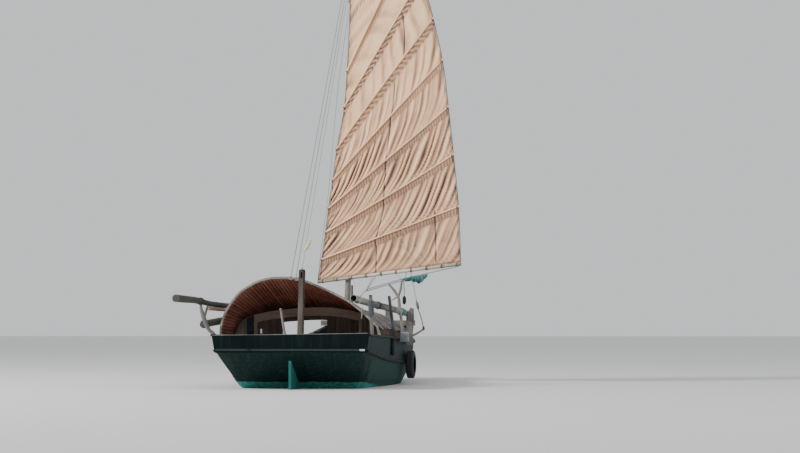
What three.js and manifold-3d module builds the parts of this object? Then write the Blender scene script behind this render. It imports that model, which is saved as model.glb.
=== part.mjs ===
import * as THREE from 'three';
import { mergeVertices } from 'three/addons/utils/BufferGeometryUtils.js';
import Module from 'manifold-3d';

// A small wooden junk, afloat. Millimetres; bow along +Y, starboard +X, +Z up.
// The origin lies on the waterline, on the centreline, 4250 ahead of the transom.
// The tables below give positions along the boat as t, measured forward from the transom.

const transomY = -4250;
const seatGap = 0.3; // running gap between pieces that lie on each other
const topsideThickness = 45;
const gunwaleWidth = 90;
const gunwaleDepth = 35;
const strakeDepth = 55;
const strakeThickness = 40;
const transomThickness = 45;
const transomTop = 930;
const deckThickness = 22;
const roofThickness = 30;
const hoopAftT = 1120;
const hoopDepth = 34;
const hoopWidth = 45;
const hoodEndT = 2700;
const roofEndT = 4560;
const bulkheadT = 2655;
const bulkheadThickness = 40;
const mastT = 5600;
const mastLean = 0.05; // sideways run to starboard per unit of height
const mastFoot = { x: -60, z: 500 };
const mastLength = 9900;
const sailRest = 20; // degrees that the foot of the sail lies abaft the beam, to starboard
const clothOffset = -104; // the cloth hangs abaft the mast by this much
const clothThickness = 12;
const boomRadius = 36;
const yardRadius = 32;
const battenRadius = 18;
const stockT = 950;
const stockRadius = 55;
const stockTop = 2040;
const trunkRadius = 80;
const bladeThickness = 45;
const bladeBottom = -820;
const logRadius = 60;
const lowLogRadius = 65;
const tyreRadius = 258;
const tyreWidth = 142;

// Hull sections: t, half bottom, bottom z, half beam at the turn, turn z, half beam at the deck edge, deck edge z
const sections = [
  [0, 1245, 610, 1275, 645, 1300, 680],
  [300, 1170, 408, 1262, 540, 1312, 655],
  [600, 1090, 206, 1230, 420, 1322, 628],
  [930, 985, -10, 1180, 200, 1330, 600],
  [1300, 860, -215, 1125, 80, 1340, 568],
  [1700, 730, -350, 1120, 20, 1350, 535],
  [2600, 760, -365, 1175, 0, 1362, 480],
  [3600, 790, -370, 1210, 0, 1370, 448],
  [4500, 790, -370, 1222, 60, 1362, 440],
  [5400, 720, -362, 1150, 150, 1290, 452],
  [6200, 590, -310, 1000, 170, 1145, 500],
  [6900, 470, -180, 870, 200, 1025, 580],
  [7500, 420, 40, 770, 320, 935, 680],
  [8000, 415, 310, 690, 500, 850, 785],
  [8400, 425, 600, 620, 700, 780, 880],
];

// The rail: t, half beam, top z
const rail = [
  [0, 1335, 930],
  [1300, 1360, 908],
  [2500, 1372, 876],
  [3800, 1380, 806],
  [4600, 1372, 790],
  [5600, 1290, 800],
  [6500, 1110, 865],
  [7300, 985, 965],
  [8000, 880, 1075],
  [8400, 810, 1130],
];

// Outer line of the arched roof, port foot to starboard foot, at its aft edge: x, z
const archAft = [
  [-1476, 892],
  [-1472, 1000],
  [-1437, 1174],
  [-1367, 1347],
  [-1297, 1460],
  [-1210, 1573],
  [-1122, 1668],
  [-1034, 1729],
  [-947, 1781],
  [-859, 1833],
  [-737, 1877],
  [-597, 1911],
  [-422, 1923],
  [-247, 1920],
  [-72, 1897],
  [33, 1868],
  [279, 1772],
  [629, 1607],
  [804, 1512],
  [980, 1382],
  [1137, 1243],
  [1312, 1074],
];

// The same line over the bulkhead; the roof forward of it starts at the second row
const archMid = [
  [-1643, 960],
  [-1482, 1142],
  [-1345, 1250],
  [-1250, 1286],
  [-1173, 1306],
  [-950, 1351],
  [-700, 1383],
  [-361, 1412],
  [-100, 1425],
  [190, 1430],
  [450, 1400],
  [757, 1338],
  [950, 1270],
  [1120, 1180],
  [1250, 1100],
  [1335, 1030],
];

// Lines of the sail in its own plane, s out from the mast and h up it.
// Each row: luff s, luff h, leech s, leech h
const battenLines = [
  [-562, 1838, 2375, 2928],
  [-501, 2366, 2215, 3906],
  [-460, 2834, 2058, 4811],
  [-401, 3380, 1881, 5701],
  [-345, 3983, 1643, 6501],
  [-222, 4798, 1345, 7320],
  [-200, 5496, 1085, 8060],
];
const boomLine = [-616, 1407, 2477, 1850];
const yardLine = [-235, 6850, 430, 9500];

const wasm = await Module();
wasm.setup();

function lerp(a, b, f) {
  return a + (b - a) * f;
}

// A row of a table at t, with the columns between two rows interpolated
function rowAt(table, t) {
  if (t <= table[0][0]) return table[0];
  for (let i = 1; i < table.length; i++) {
    if (t <= table[i][0]) {
      const f = (t - table[i - 1][0]) / (table[i][0] - table[i - 1][0]);
      return table[i].map((v, k) => lerp(table[i - 1][k], v, f));
    }
  }
  return table[table.length - 1];
}

// Half beam of the hull's side at height z, on its straight run from turn to deck edge
function sideAt(t, z) {
  const [, , , turnX, turnZ, edgeX, edgeZ] = rowAt(sections, t);
  return lerp(turnX, edgeX, (z - turnZ) / (edgeZ - turnZ));
}

function resample(line, count) {
  const run = [0];
  for (let i = 1; i < line.length; i++) {
    run.push(run[i - 1] + Math.hypot(line[i][0] - line[i - 1][0], line[i][1] - line[i - 1][1]));
  }
  const out = [];
  for (let k = 0; k <= count; k++) {
    const d = (run[run.length - 1] * k) / count;
    let i = 1;
    while (i < line.length - 1 && run[i] < d) i++;
    const f = (d - run[i - 1]) / (run[i] - run[i - 1]);
    out.push([lerp(line[i - 1][0], line[i][0], f), lerp(line[i - 1][1], line[i][1], f)]);
  }
  return out;
}

// The line moved sideways by d, to the right of its own direction
function offsetLine(line, d) {
  return line.map((p, i) => {
    const a = line[Math.max(i - 1, 0)];
    const b = line[Math.min(i + 1, line.length - 1)];
    const l = Math.hypot(b[0] - a[0], b[1] - a[1]);
    return [p[0] + ((b[1] - a[1]) / l) * d, p[1] - ((b[0] - a[0]) / l) * d];
  });
}

const archSteps = 25;
const archAftLine = resample(archAft, archSteps);
const archMidLine = resample(archMid, archSteps);
const archMainLine = resample(archMid.slice(1), archSteps);
const archForeLine = archMainLine.map(([x, z]) => [x * 0.985, z - 22]);

// Outer line of the roof at t, moved inwards by inset
function archAt(t, inset) {
  const [from, to, f] =
    t < hoodEndT
      ? [archAftLine, archMidLine, (t - hoopAftT) / (hoodEndT - hoopAftT)]
      : [archMainLine, archForeLine, (t - hoodEndT) / (roofEndT - hoodEndT)];
  const line = from.map((p, i) => [lerp(p[0], to[i][0], f), lerp(p[1], to[i][1], f)]);
  return offsetLine(line, inset);
}

// Height of the roof's underside over x
function roofUnder(x, t) {
  const line = archAt(t, roofThickness);
  for (let i = 1; i < line.length; i++) {
    if (x <= line[i][0] && x >= line[i - 1][0]) {
      return lerp(line[i - 1][1], line[i][1], (x - line[i - 1][0]) / (line[i][0] - line[i - 1][0]));
    }
  }
  return line[0][1];
}

function geometryFrom(points, triangles) {
  let volume = 0;
  for (const [a, b, c] of triangles) {
    const [p, q, r] = [points[a], points[b], points[c]];
    volume +=
      p[0] * (q[1] * r[2] - q[2] * r[1]) -
      p[1] * (q[0] * r[2] - q[2] * r[0]) +
      p[2] * (q[0] * r[1] - q[1] * r[0]);
  }
  const index = [];
  for (const [a, b, c] of triangles) {
    if (volume >= 0) index.push(a, b, c);
    else index.push(a, c, b);
  }
  const geometry = new THREE.BufferGeometry();
  geometry.setAttribute('position', new THREE.BufferAttribute(new Float32Array(points.flat()), 3));
  geometry.setIndex(index);
  geometry.computeVertexNormals();
  return geometry;
}

// Triangles over a flat closed ring of corners
function capTriangles(ring) {
  const n = [0, 0, 0];
  for (let i = 0; i < ring.length; i++) {
    const p = ring[i];
    const q = ring[(i + 1) % ring.length];
    n[0] += (p[1] - q[1]) * (p[2] + q[2]);
    n[1] += (p[2] - q[2]) * (p[0] + q[0]);
    n[2] += (p[0] - q[0]) * (p[1] + q[1]);
  }
  const size = n.map(Math.abs);
  const drop = size.indexOf(Math.max(...size));
  const axes = [
    [1, 2],
    [2, 0],
    [0, 1],
  ][drop];
  const flat = ring.map((p) => new THREE.Vector2(p[axes[0]], p[axes[1]]));
  const flip = n[drop] < 0;
  const faces = THREE.ShapeUtils.triangulateShape(flat, []);
  // the triangles follow the ring's own direction
  return faces.map(([a, b, c]) => {
    const area =
      (flat[b].x - flat[a].x) * (flat[c].y - flat[a].y) -
      (flat[c].x - flat[a].x) * (flat[b].y - flat[a].y);
    return area > 0 !== flip ? [a, b, c] : [a, c, b];
  });
}

// A closed body through a row of rings with the same number of corners
function loft(rings) {
  const count = rings[0].length;
  const points = rings.flat();
  const triangles = [];
  for (let i = 0; i + 1 < rings.length; i++) {
    for (let j = 0; j < count; j++) {
      const a = i * count + j;
      const b = i * count + ((j + 1) % count);
      triangles.push([a, b, b + count], [a, b + count, a + count]);
    }
  }
  for (const [a, b, c] of capTriangles(rings[0])) triangles.push([a, c, b]);
  const last = (rings.length - 1) * count;
  for (const [a, b, c] of capTriangles(rings[rings.length - 1])) {
    triangles.push([last + a, last + b, last + c]);
  }
  return geometryFrom(points, triangles);
}

// A closed body between two grids of points with the same rows and columns
function slab(face, back) {
  const rows = face.length;
  const cols = face[0].length;
  const size = rows * cols;
  const points = [...face.flat(), ...back.flat()];
  const triangles = [];
  const quad = (a, b, c, d) => triangles.push([a, b, c], [a, c, d]);
  for (let i = 0; i + 1 < rows; i++) {
    for (let j = 0; j + 1 < cols; j++) {
      const a = i * cols + j;
      quad(a, a + 1, a + cols + 1, a + cols);
      quad(size + a, size + a + cols, size + a + cols + 1, size + a + 1);
    }
    const l = i * cols;
    quad(l, l + cols, size + l + cols, size + l);
    const r = i * cols + cols - 1;
    quad(r, size + r, size + r + cols, r + cols);
  }
  for (let j = 0; j + 1 < cols; j++) {
    quad(j, size + j, size + j + 1, j + 1);
    const e = (rows - 1) * cols + j;
    quad(e, e + 1, size + e + 1, size + e);
  }
  return geometryFrom(points, triangles);
}

// A round or flattened pole through [x, y, z, radius] stations; sides turn about each station
function pole(stations, sides, squash = 1) {
  const rings = stations.map((s, i) => {
    const a = stations[Math.max(i - 1, 0)];
    const b = stations[Math.min(i + 1, stations.length - 1)];
    const dir = new THREE.Vector3(b[0] - a[0], b[1] - a[1], b[2] - a[2]).normalize();
    const ref = Math.abs(dir.y) > 0.7 ? new THREE.Vector3(1, 0, 0) : new THREE.Vector3(0, 1, 0);
    const u = new THREE.Vector3().crossVectors(ref, dir).normalize();
    const v = new THREE.Vector3().crossVectors(dir, u);
    const ring = [];
    for (let k = 0; k < sides; k++) {
      const q = ((k + 0.5) * 2 * Math.PI) / sides;
      const [c, d] = [Math.cos(q) * s[3], Math.sin(q) * s[3] * squash];
      ring.push([s[0] + u.x * c + v.x * d, s[1] + u.y * c + v.y * d, s[2] + u.z * c + v.z * d]);
    }
    return ring;
  });
  return loft(rings);
}

function box(x0, x1, y0, y1, z0, z1) {
  const geometry = new THREE.BoxGeometry(x1 - x0, y1 - y0, z1 - z0);
  geometry.translate((x0 + x1) / 2, (y0 + y1) / 2, (z0 + z1) / 2);
  return geometry;
}

function solidOf(geometry) {
  const bare = geometry.clone();
  bare.deleteAttribute('normal');
  bare.deleteAttribute('uv');
  const merged = mergeVertices(bare, 1e-3);
  return new wasm.Manifold(
    new wasm.Mesh({
      numProp: 3,
      vertProperties: new Float32Array(merged.attributes.position.array),
      triVerts: new Uint32Array(merged.index.array),
    }),
  );
}

function geometryOf(solid) {
  const mesh = solid.getMesh();
  const geometry = new THREE.BufferGeometry();
  geometry.setAttribute('position', new THREE.BufferAttribute(new Float32Array(mesh.vertProperties), 3));
  geometry.setIndex([...mesh.triVerts]);
  geometry.computeVertexNormals();
  return geometry;
}

function cut(geometry, ...tools) {
  return geometryOf(tools.reduce((s, t) => s.subtract(solidOf(t)), solidOf(geometry)));
}

function join(...pieces) {
  return geometryOf(pieces.slice(1).reduce((s, t) => s.add(solidOf(t)), solidOf(pieces[0])));
}

const boat = new THREE.Group();

const looks = {
  hullPaint: ['#1d2a29', 0.7, 0],
  railPaint: ['#2b3a3d', 0.7, 0],
  stripPaint: ['#a9adab', 0.7, 0],
  teal: ['#2f6d6d', 0.7, 0],
  greyWood: ['#9a948c', 0.85, 0],
  paleWood: ['#c0b6a6', 0.8, 0],
  brownWood: ['#7a5f50', 0.8, 0],
  redWood: ['#6a2c1c', 0.7, 0],
  darkWood: ['#33231f', 0.8, 0],
  darkLog: ['#4b4d49', 0.85, 0],
  bamboo: ['#a8aa98', 0.6, 0],
  cloth: ['#c7a894', 0.9, 0],
  curtain: ['#1f2740', 0.95, 0],
  rope: ['#8fa19c', 0.9, 0],
  tyre: ['#23262a', 0.9, 0],
  can: ['#8f9daa', 0.5, 0],
};

function add(name, geometry, look, parent = boat) {
  const [color, roughness, metalness] = looks[look];
  const mesh = new THREE.Mesh(geometry, new THREE.MeshStandardMaterial({ color, roughness, metalness }));
  mesh.name = name;
  parent.add(mesh);
  return mesh;
}

// Hull body up to the deck edge, with the rudder's open trunk through it

function deckHeight(t) {
  return rowAt(sections, t)[6];
}

function hullRing([t, bottomX, bottomZ, turnX, turnZ, edgeX, edgeZ], grow = 0) {
  const y = t + transomY;
  // the bilge is bowed a little outside the straight line from bottom to turn
  const bilgeX = lerp(bottomX, turnX, 0.58);
  const bilgeZ = lerp(bottomZ, turnZ, 0.42);
  const half = [
    [bottomX, bottomZ],
    [bilgeX, bilgeZ],
    [turnX, turnZ],
    [edgeX, edgeZ],
  ];
  const right = half.map(([x, z]) => [x + grow, y, z]);
  const left = half.map(([x, z]) => [-x - grow, y, z]).reverse();
  return [...right, ...left];
}

const trunk = pole(
  [
    [0, stockT + transomY, -900, trunkRadius],
    [0, stockT + transomY, 1200, trunkRadius],
  ],
  16,
);

add('hull_lower', cut(loft(sections.map((row) => hullRing(row))), trunk), 'hullPaint');

// Topsides, rails and rubbing strakes, one of each on either side

// every change of slope in the two tables has a station, so that neighbours meet face to face
const railStations = [
  46, 300, 600, 930, 1300, 1700, 2500, 2600, 3600, 3800, 4500, 4600, 5400, 5600, 6200, 6500, 6900, 7300, 7500,
  8000, 8354,
];

function topside(side) {
  const face = [];
  const back = [];
  for (const t of railStations) {
    const y = t + transomY;
    const [, railX, railZ] = rowAt(rail, t);
    const edgeX = rowAt(sections, t)[5];
    const low = deckHeight(t) + seatGap;
    const high = railZ - gunwaleDepth - seatGap;
    face.push([
      [side * edgeX, y, low],
      [side * lerp(edgeX, railX, 0.75), y, lerp(low, high, 0.55)],
      [side * railX, y, high],
    ]);
    back.push([
      [side * (edgeX - topsideThickness), y, low],
      [side * (lerp(edgeX, railX, 0.75) - topsideThickness), y, lerp(low, high, 0.55)],
      [side * (railX - topsideThickness), y, high],
    ]);
  }
  return slab(face, back);
}

function gunwale(side) {
  return loft(
    railStations.map((t) => {
      const y = t + transomY;
      const [, railX, railZ] = rowAt(rail, t);
      const inner = side * (railX - topsideThickness - 5);
      const outer = side * (railX - topsideThickness - 5 + gunwaleWidth);
      return [
        [inner, y, railZ - gunwaleDepth],
        [outer, y, railZ - gunwaleDepth],
        [outer, y, railZ],
        [inner, y, railZ],
      ];
    }),
  );
}

function strake(side) {
  const stations = [60, 300, 600, 930, 1300, 1700, 2600, 3600, 4500, 5400, 6200, 6900, 7500, 8000, 8330];
  return loft(
    stations.map((t) => {
      const y = t + transomY;
      const top = deckHeight(t) - 4;
      const low = top - strakeDepth;
      const topX = sideAt(t, top);
      const lowX = sideAt(t, low);
      return [
        [side * (lowX - 25), y, low],
        [side * (lowX + strakeThickness), y, low + 8],
        [side * (topX + strakeThickness), y, top - 8],
        [side * (topX - 25), y, top],
      ];
    }),
  );
}
// the strakes are hollowed to the hull's side
const hullGrown = loft(sections.map((row) => hullRing(row, seatGap + 0.1)));

for (const [word, side] of [
  ['port', -1],
  ['starboard', 1],
]) {
  add(`topside_${word}`, topside(side), 'railPaint');
  add(`gunwale_${word}`, gunwale(side), 'railPaint');
  add(`strake_${word}`, cut(strake(side), hullGrown), 'hullPaint');
}

// Deck planking between the topsides, open where the rudder's trunk passes

const deckSideGap = 3;
const deckUnder = (t) => deckHeight(t) + seatGap;
const deckTop = (t) => deckHeight(t) + deckThickness + seatGap;
const deckFace = (heightAt) =>
  railStations.map((t) => {
    const x = rowAt(sections, t)[5] - topsideThickness - deckSideGap;
    return [-x, 0, x].map((across) => [across, t + transomY, heightAt(t)]);
  });
add('deck_planking', cut(slab(deckFace(deckTop), deckFace(deckUnder)), trunk), 'brownWood');

// Transom board over the hull's end, with a small peg on its top edge, and the pale strip below

const transomShape = new THREE.Shape();
transomShape.moveTo(-1302, 680 + seatGap);
transomShape.lineTo(1300, 680 + seatGap);
transomShape.lineTo(1329, 948);
transomShape.lineTo(0, transomTop - 4);
transomShape.lineTo(-1342, 910);
const transomGeometry = new THREE.ExtrudeGeometry(transomShape, {
  depth: transomThickness,
  bevelEnabled: false,
});
transomGeometry.rotateX(Math.PI / 2);
transomGeometry.translate(0, transomY + transomThickness, 0);
const peg = box(-503, -479, transomY + 10, transomY + 34, 900, 1015);
add('transom_board', join(transomGeometry, peg), 'hullPaint');
add('transom_strip', box(-1270, 1276, transomY - 14, transomY - seatGap, 650, 680), 'stripPaint');

// Bow board, beam and bollards

const bowY = 8400 + transomY;
const bowBoardRing = (y) => [
  [-640, y, 720],
  [640, y, 720],
  [800, y, 1160],
  [0, y, 1190],
  [-800, y, 1160],
];
add('bow_board', loft([bowBoardRing(bowY + seatGap), bowBoardRing(bowY + 50)]), 'hullPaint');

const beamT = 8020;
const beamZ = rowAt(rail, beamT + 60)[2] + seatGap;
const beamY = beamT + transomY;
const bollard = (x) => box(x - 55, x + 55, beamY - 45, beamY + 45, beamZ + 60, beamZ + 330);
add(
  'bow_beam',
  join(
    box(-970, 970, beamY - 60, beamY + 60, beamZ, beamZ + 110),
    bollard(-420),
    bollard(420),
  ),
  'greyWood',
);

// Arched roof: a tall skewed hood that runs down to the low arch over the cabin

function roofShell(stations, thickness = roofThickness) {
  const grid = (inset) =>
    stations.map((t) => archAt(t, inset).map(([x, z]) => [x, t + transomY, z]));
  return slab(grid(0), grid(thickness));
}

const hoodStartT = hoopAftT + hoopWidth + seatGap;
const hoodStations = [hoodStartT, 1560, 1940, 2320, hoodEndT - seatGap];
add('roof_hood', roofShell(hoodStations), 'redWood');
add('roof_main', roofShell([hoodEndT, 3320, 3940, roofEndT - hoopWidth - seatGap]), 'greyWood');

// A hoop is the roof's own line above the height footTop, with its feet carried down to the gunwales
function hoop(t0, t1, footTop, portFoot, starboardFoot) {
  const raised = ([, z]) => z > footTop;
  const ring = (t) => {
    const line = archAt(t0, 0).filter(raised);
    const inner = archAt(t0, hoopDepth).filter(raised);
    const y = t + transomY;
    return [
      ...portFoot[0].map(([x, z]) => [x, y, z]),
      ...line.map(([x, z]) => [x, y, z]),
      ...starboardFoot.map(([x, z]) => [x, y, z]),
      ...inner.reverse().map(([x, z]) => [x, y, z]),
      ...portFoot[1].map(([x, z]) => [x, y, z]),
    ];
  };
  return loft([ring(t0), ring(t1)]);
}

const aftRail = rowAt(rail, 1142);
const aftOuter = -(aftRail[1] - topsideThickness - 5 + gunwaleWidth) - 1.2;
add(
  'hoop_aft',
  hoop(
    hoopAftT,
    hoopAftT + hoopWidth,
    aftRail[2] + 20,
    [[[aftOuter - 46, 872]], [[aftOuter, aftRail[2] + 8], [aftOuter, 872]]],
    [
      [1365, aftRail[2] + 0.6],
      [1317, aftRail[2] + 0.6],
    ],
  ),
  'paleWood',
);
const foreHoopT = roofEndT - hoopWidth;
const foreRail = rowAt(rail, roofEndT - 22);
const foreOuter = -(foreRail[1] - topsideThickness - 5 + gunwaleWidth) - 0.8;
add(
  'hoop_forward',
  hoop(
    foreHoopT,
    roofEndT,
    foreRail[2] + 20,
    [[[foreOuter - 46, 762]], [[foreOuter, foreRail[2] + 8], [foreOuter, 762]]],
    [
      [1362, foreRail[2] + 0.6],
      [1316, foreRail[2] + 0.6],
    ],
  ),
  'paleWood',
);

// Bulkhead under the low end of the hood: a cambered lintel on two posts, a panel and a door

const lintelXs = [-1186, -1020, -860, -680, -500, -320, -140, 40, 220, 400, 580, 785];
const lintelDepth = 148;
const headerDepth = 80;
const lintelRows = lintelXs.map((x) => [x, roofUnder(x, bulkheadT) - 3]);
const lintelUnder = (x) => rowAt(lintelRows, x)[1] - lintelDepth;
const lintelRing = (y) => {
  const upper = lintelRows.map(([x, z]) => [x, y, z]);
  const lower = lintelXs.map((x) => [x, y, lintelUnder(x)]).reverse();
  return [...upper, ...lower];
};
const bulkheadY0 = bulkheadT - bulkheadThickness + transomY;
const bulkheadY1 = bulkheadT + transomY;
const footZ = deckTop(bulkheadT - bulkheadThickness) + seatGap;
add(
  'bulkhead_frame',
  join(
    loft([lintelRing(bulkheadY0), lintelRing(bulkheadY1)]),
    box(-1186, -1130, bulkheadY0, bulkheadY1, footZ, roofUnder(-1158, bulkheadT) - 60),
    box(728, 785, bulkheadY0, bulkheadY1, footZ, roofUnder(756, bulkheadT) - 60),
  ),
  'brownWood',
);

// The panel's boards run on over the doorway as a header that follows the lintel
const boardsY0 = bulkheadY0 + 10;
const boardsY1 = bulkheadY1 - 10;
const underLintel = (xs, y) => xs.map((x) => [x, y, lintelUnder(x) - seatGap]);
const headerXs = [-1129.5, -1020, -860, -680, -660, -500, -320, -140, 40, 149.5];
const headerRing = (y) => [
  ...underLintel(headerXs, y),
  ...headerXs
    .filter((x) => x >= -660)
    .reverse()
    .map((x) => [x, y, lintelUnder(x) - headerDepth]),
  [-660, y, footZ],
  [-1129.5, y, footZ],
];
add('bulkhead_panel', loft([headerRing(boardsY0), headerRing(boardsY1)]), 'darkWood');
const doorXs = [150, 220, 400, 580, 727.5];
const doorRing = (y) => [...underLintel(doorXs, y), [727.5, y, footZ], [150, y, footZ]];
add('bulkhead_door', loft([doorRing(boardsY0), doorRing(boardsY1)]), 'darkWood');

// Port of the post the boards go on to the roof, and stand over the gunwale
const wingXs = [-1186.5, -1230, -1280, -1330, -1380, -1436];
const wingRing = (y) => [
  ...wingXs.map((x) => [x, y, roofUnder(x, bulkheadT) - 3]),
  [-1436, y, 890],
  [-1305, y, 890],
  [-1305, y, footZ],
  [-1186.5, y, footZ],
];
add('bulkhead_wing', loft([wingRing(boardsY0), wingRing(boardsY1)]), 'brownWood');

// A dark curtain hangs beside the port post, from the roof
const curtainXs = [-1319, -1276, -1233, -1190];
const curtainFace = (y) => [
  curtainXs.map((x) => [x, y, roofUnder(x, 2600) + 12]),
  curtainXs.map((x) => [x, y, 640]),
];
const curtainSlab = slab(curtainFace(2592 + transomY), curtainFace(2612 + transomY));
add('curtain', cut(curtainSlab, roofShell(hoodStations, roofThickness + 0.5)), 'curtain');

// Upright boards between the gunwales and the eaves
function sideBoard(side, rows, inset) {
  const face = (shift) =>
    rows.map(([t, top]) => {
      const [, railX, railZ] = rowAt(rail, t);
      const x = side * (railX - inset - shift);
      return [
        [x, t + transomY, railZ + seatGap + 0.4],
        [x, t + transomY, top],
      ];
    });
  return slab(face(0), face(24));
}
add(
  'side_board_starboard',
  sideBoard(
    1,
    [
      [1190, 1012],
      [1300, 1012],
      [2500, 1002],
      [3800, 985],
      [4500, 975],
    ],
    45,
  ),
  'brownWood',
);
add(
  'side_board_port',
  sideBoard(
    -1,
    [
      [2670, 1080],
      [3800, 1050],
      [4500, 1040],
    ],
    12,
  ),
  'brownWood',
);

// Outer edge of the gunwale at t
function gunwaleOuter(t) {
  return rowAt(rail, t)[1] - topsideThickness - 5 + gunwaleWidth;
}

// Centre of an eight-sided pole that stands against that edge
function besideGunwale(t, radius) {
  return gunwaleOuter(t) + seatGap + 0.2 + radius * Math.cos(Math.PI / 8);
}

// Spars stowed along the rails, on props

function spar(points, radius, sides, spread = 0) {
  return pole(
    points.map(([x, t, z, own]) => [x, t + transomY, z, (own ?? radius) + spread]),
    sides,
  );
}

const starboardLog = [
  [862, 1290, 1547],
  [1030, 2200, 1463],
  [1200, 2950, 1400],
  [1400, 3850, 1312],
];
// x, t, z and, where it differs, the radius there
const portLog = [
  [-1680, -1100, 1518, 61],
  [-1655, 300, 1497, 54],
  [-1650, 1000, 1462, 46],
  [-1640, 3250, 1430, 44],
];
const portLogUnder = [
  [-1646, 980, 1376, 35],
  [-1640, 3250, 1350, 35],
];
const lowLogLine = (startT) => [
  [-1602, startT, 1096],
  [-1625, 2960, 1215],
];
const lowLogT = 490;
// the near end of the starboard spar is hollow
const logHollow = pole(
  [
    [862 - 18, 1190 + transomY, 1556, logRadius - 16],
    [862 + 28, 1440 + transomY, 1533, logRadius - 16],
  ],
  10,
);
add('log_starboard', cut(spar(starboardLog, logRadius, 12), logHollow), 'bamboo');
add('log_port', spar(portLog, logRadius, 12), 'darkLog');
add('log_port_under', spar(portLogUnder, logRadius, 10), 'brownWood');
add('log_port_low', spar(lowLogLine(lowLogT), lowLogRadius, 12), 'darkLog');

const prop = (t, line) =>
  pole(
    line.map(([x, z, radius]) => [x, t + transomY, z, radius]),
    8,
  );
const propAft = [
  [-besideGunwale(500, 34), 858, 34],
  [-besideGunwale(500, 34), 925, 34],
  [-1500, 1000, 32],
  [-1556, 1110, 40],
  [-1602, 1240, 42],
  [-1640, 1370, 28],
  [-1652, 1462, 24],
];
const propAftArm = [
  [-1590, 1215, 26],
  [-1548, 1330, 24],
  [-1524, 1418, 17],
];
const propForward = [
  [-besideGunwale(2830, 30), 790, 30],
  [-besideGunwale(2830, 30), 868, 30],
  [-besideGunwale(2830, 30), 884, 30],
  [-1500, 960, 31],
  [-1545, 1110, 33],
  [-1600, 1290, 30],
  [-1635, 1400, 27],
];
const portLogBeds = [
  spar(portLog, logRadius, 12, seatGap),
  spar(portLogUnder, logRadius, 10, seatGap),
  spar(lowLogLine(lowLogT - seatGap), lowLogRadius, 12, seatGap),
];
add('prop_port_aft', cut(join(prop(470, propAft), prop(470, propAftArm)), ...portLogBeds), 'greyWood');
add('prop_port_forward', cut(prop(2800, propForward), ...portLogBeds), 'greyWood');

// Posts, a forked branch and a crutch on the starboard rail

function railTop(t) {
  return rowAt(rail, t)[2] + seatGap;
}

// A flat post through [x, z] at its foot and head
function flatPost(foot, head, width, t0, t1) {
  const ring = (y) => [
    [foot[0] - width / 2, y, foot[1]],
    [foot[0] + width / 2, y, foot[1]],
    [head[0] + width / 2, y, head[1]],
    [head[0] - width / 2, y, head[1]],
  ];
  return loft([ring(t0 + transomY), ring(t1 + transomY)]);
}
add('rail_post_aft', flatPost([1340, railTop(330) + 0.3], [1315, 1592], 64, 330, 372), 'greyWood');
add('rail_post_mid', flatPost([1391, railTop(2480) + 0.3], [1297, 1607], 56, 2480, 2525), 'darkLog');

const forkT = 3150;
const forkY = forkT + transomY;
add(
  'forked_branch',
  join(
    pole(
      [
        [besideGunwale(forkT, 31), forkY, 780, 31],
        [besideGunwale(forkT, 31), forkY, 850, 31],
        [1434, forkY, 1070, 30],
        [1392, forkY, 1376, 29],
        [1358, forkY, 1618, 30],
        [1340, forkY, 1650, 20],
      ],
      8,
    ),
    pole(
      [
        [1366, forkY, 1585, 20],
        [1300, forkY, 1700, 24],
        [1185, forkY, 1837, 20],
      ],
      8,
    ),
    pole(
      [
        [1352, forkY, 1570, 20],
        [1408, forkY, 1740, 23],
        [1443, forkY, 1909, 18],
        [1498, forkY, 1945, 12],
      ],
      8,
    ),
  ),
  'paleWood',
);

const crutchX = gunwaleOuter(3800) + seatGap + 0.1;
const crutchShape = new THREE.Shape();
crutchShape.moveTo(crutchX, 720);
crutchShape.lineTo(1520, 720);
crutchShape.lineTo(1562, 1180);
crutchShape.lineTo(1556, 1395);
crutchShape.lineTo(1500, 1408);
crutchShape.lineTo(crutchX, 1290);
const crutchHole = new THREE.Path();
crutchHole.absellipse(1480, 1120, 26, 42, 0, Math.PI * 2, true, 0);
crutchShape.holes.push(crutchHole);
const crutchGeometry = new THREE.ExtrudeGeometry(crutchShape, {
  depth: 62,
  bevelEnabled: false,
  curveSegments: 5,
});
crutchGeometry.rotateX(Math.PI / 2);
crutchGeometry.translate(0, 3800 + transomY, 0);
add('rail_crutch', cut(crutchGeometry, spar(starboardLog, logRadius, 12, seatGap)), 'greyWood');

add(
  'outboard_strut',
  pole(
    [
      [1394, 4010 + transomY, railTop(3984) + 0.1, 24],
      [1394, 4010 + transomY, railTop(3984) + 42, 24],
      [1720, 4010 + transomY, 1020, 22],
    ],
    8,
  ),
  'greyWood',
);

// Fenders and small things on the starboard side

const tyreProfile = [
  [-0.5, 0.62],
  [-0.5, 0.86],
  [-0.36, 0.98],
  [-0.12, 1],
  [0.12, 1],
  [0.36, 0.98],
  [0.5, 0.86],
  [0.5, 0.62],
  [0.42, 0.62],
  [0.4, 0.84],
  [0.2, 0.92],
  [-0.2, 0.92],
  [-0.4, 0.84],
  [-0.42, 0.62],
].map(([a, r]) => new THREE.Vector2(r * tyreRadius, a * tyreWidth));
tyreProfile.push(tyreProfile[0].clone());
const tyreGeometry = new THREE.LatheGeometry(tyreProfile, 28);
tyreGeometry.rotateZ(Math.PI / 2);
const tyreT = 3950;
tyreGeometry.translate(1407.6 + tyreWidth / 2, tyreT + transomY, 365);
add('tyre_fender', tyreGeometry, 'tyre');

add('fender_block', box(1373, 1421, 2270 + transomY, 2395 + transomY, 545, 843.5), 'darkWood');

const canX = gunwaleOuter(3060) + seatGap + 0.1;
add('rail_can', box(canX, 1580, 2960 + transomY, 3060 + transomY, 783, 973), 'can');

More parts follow.
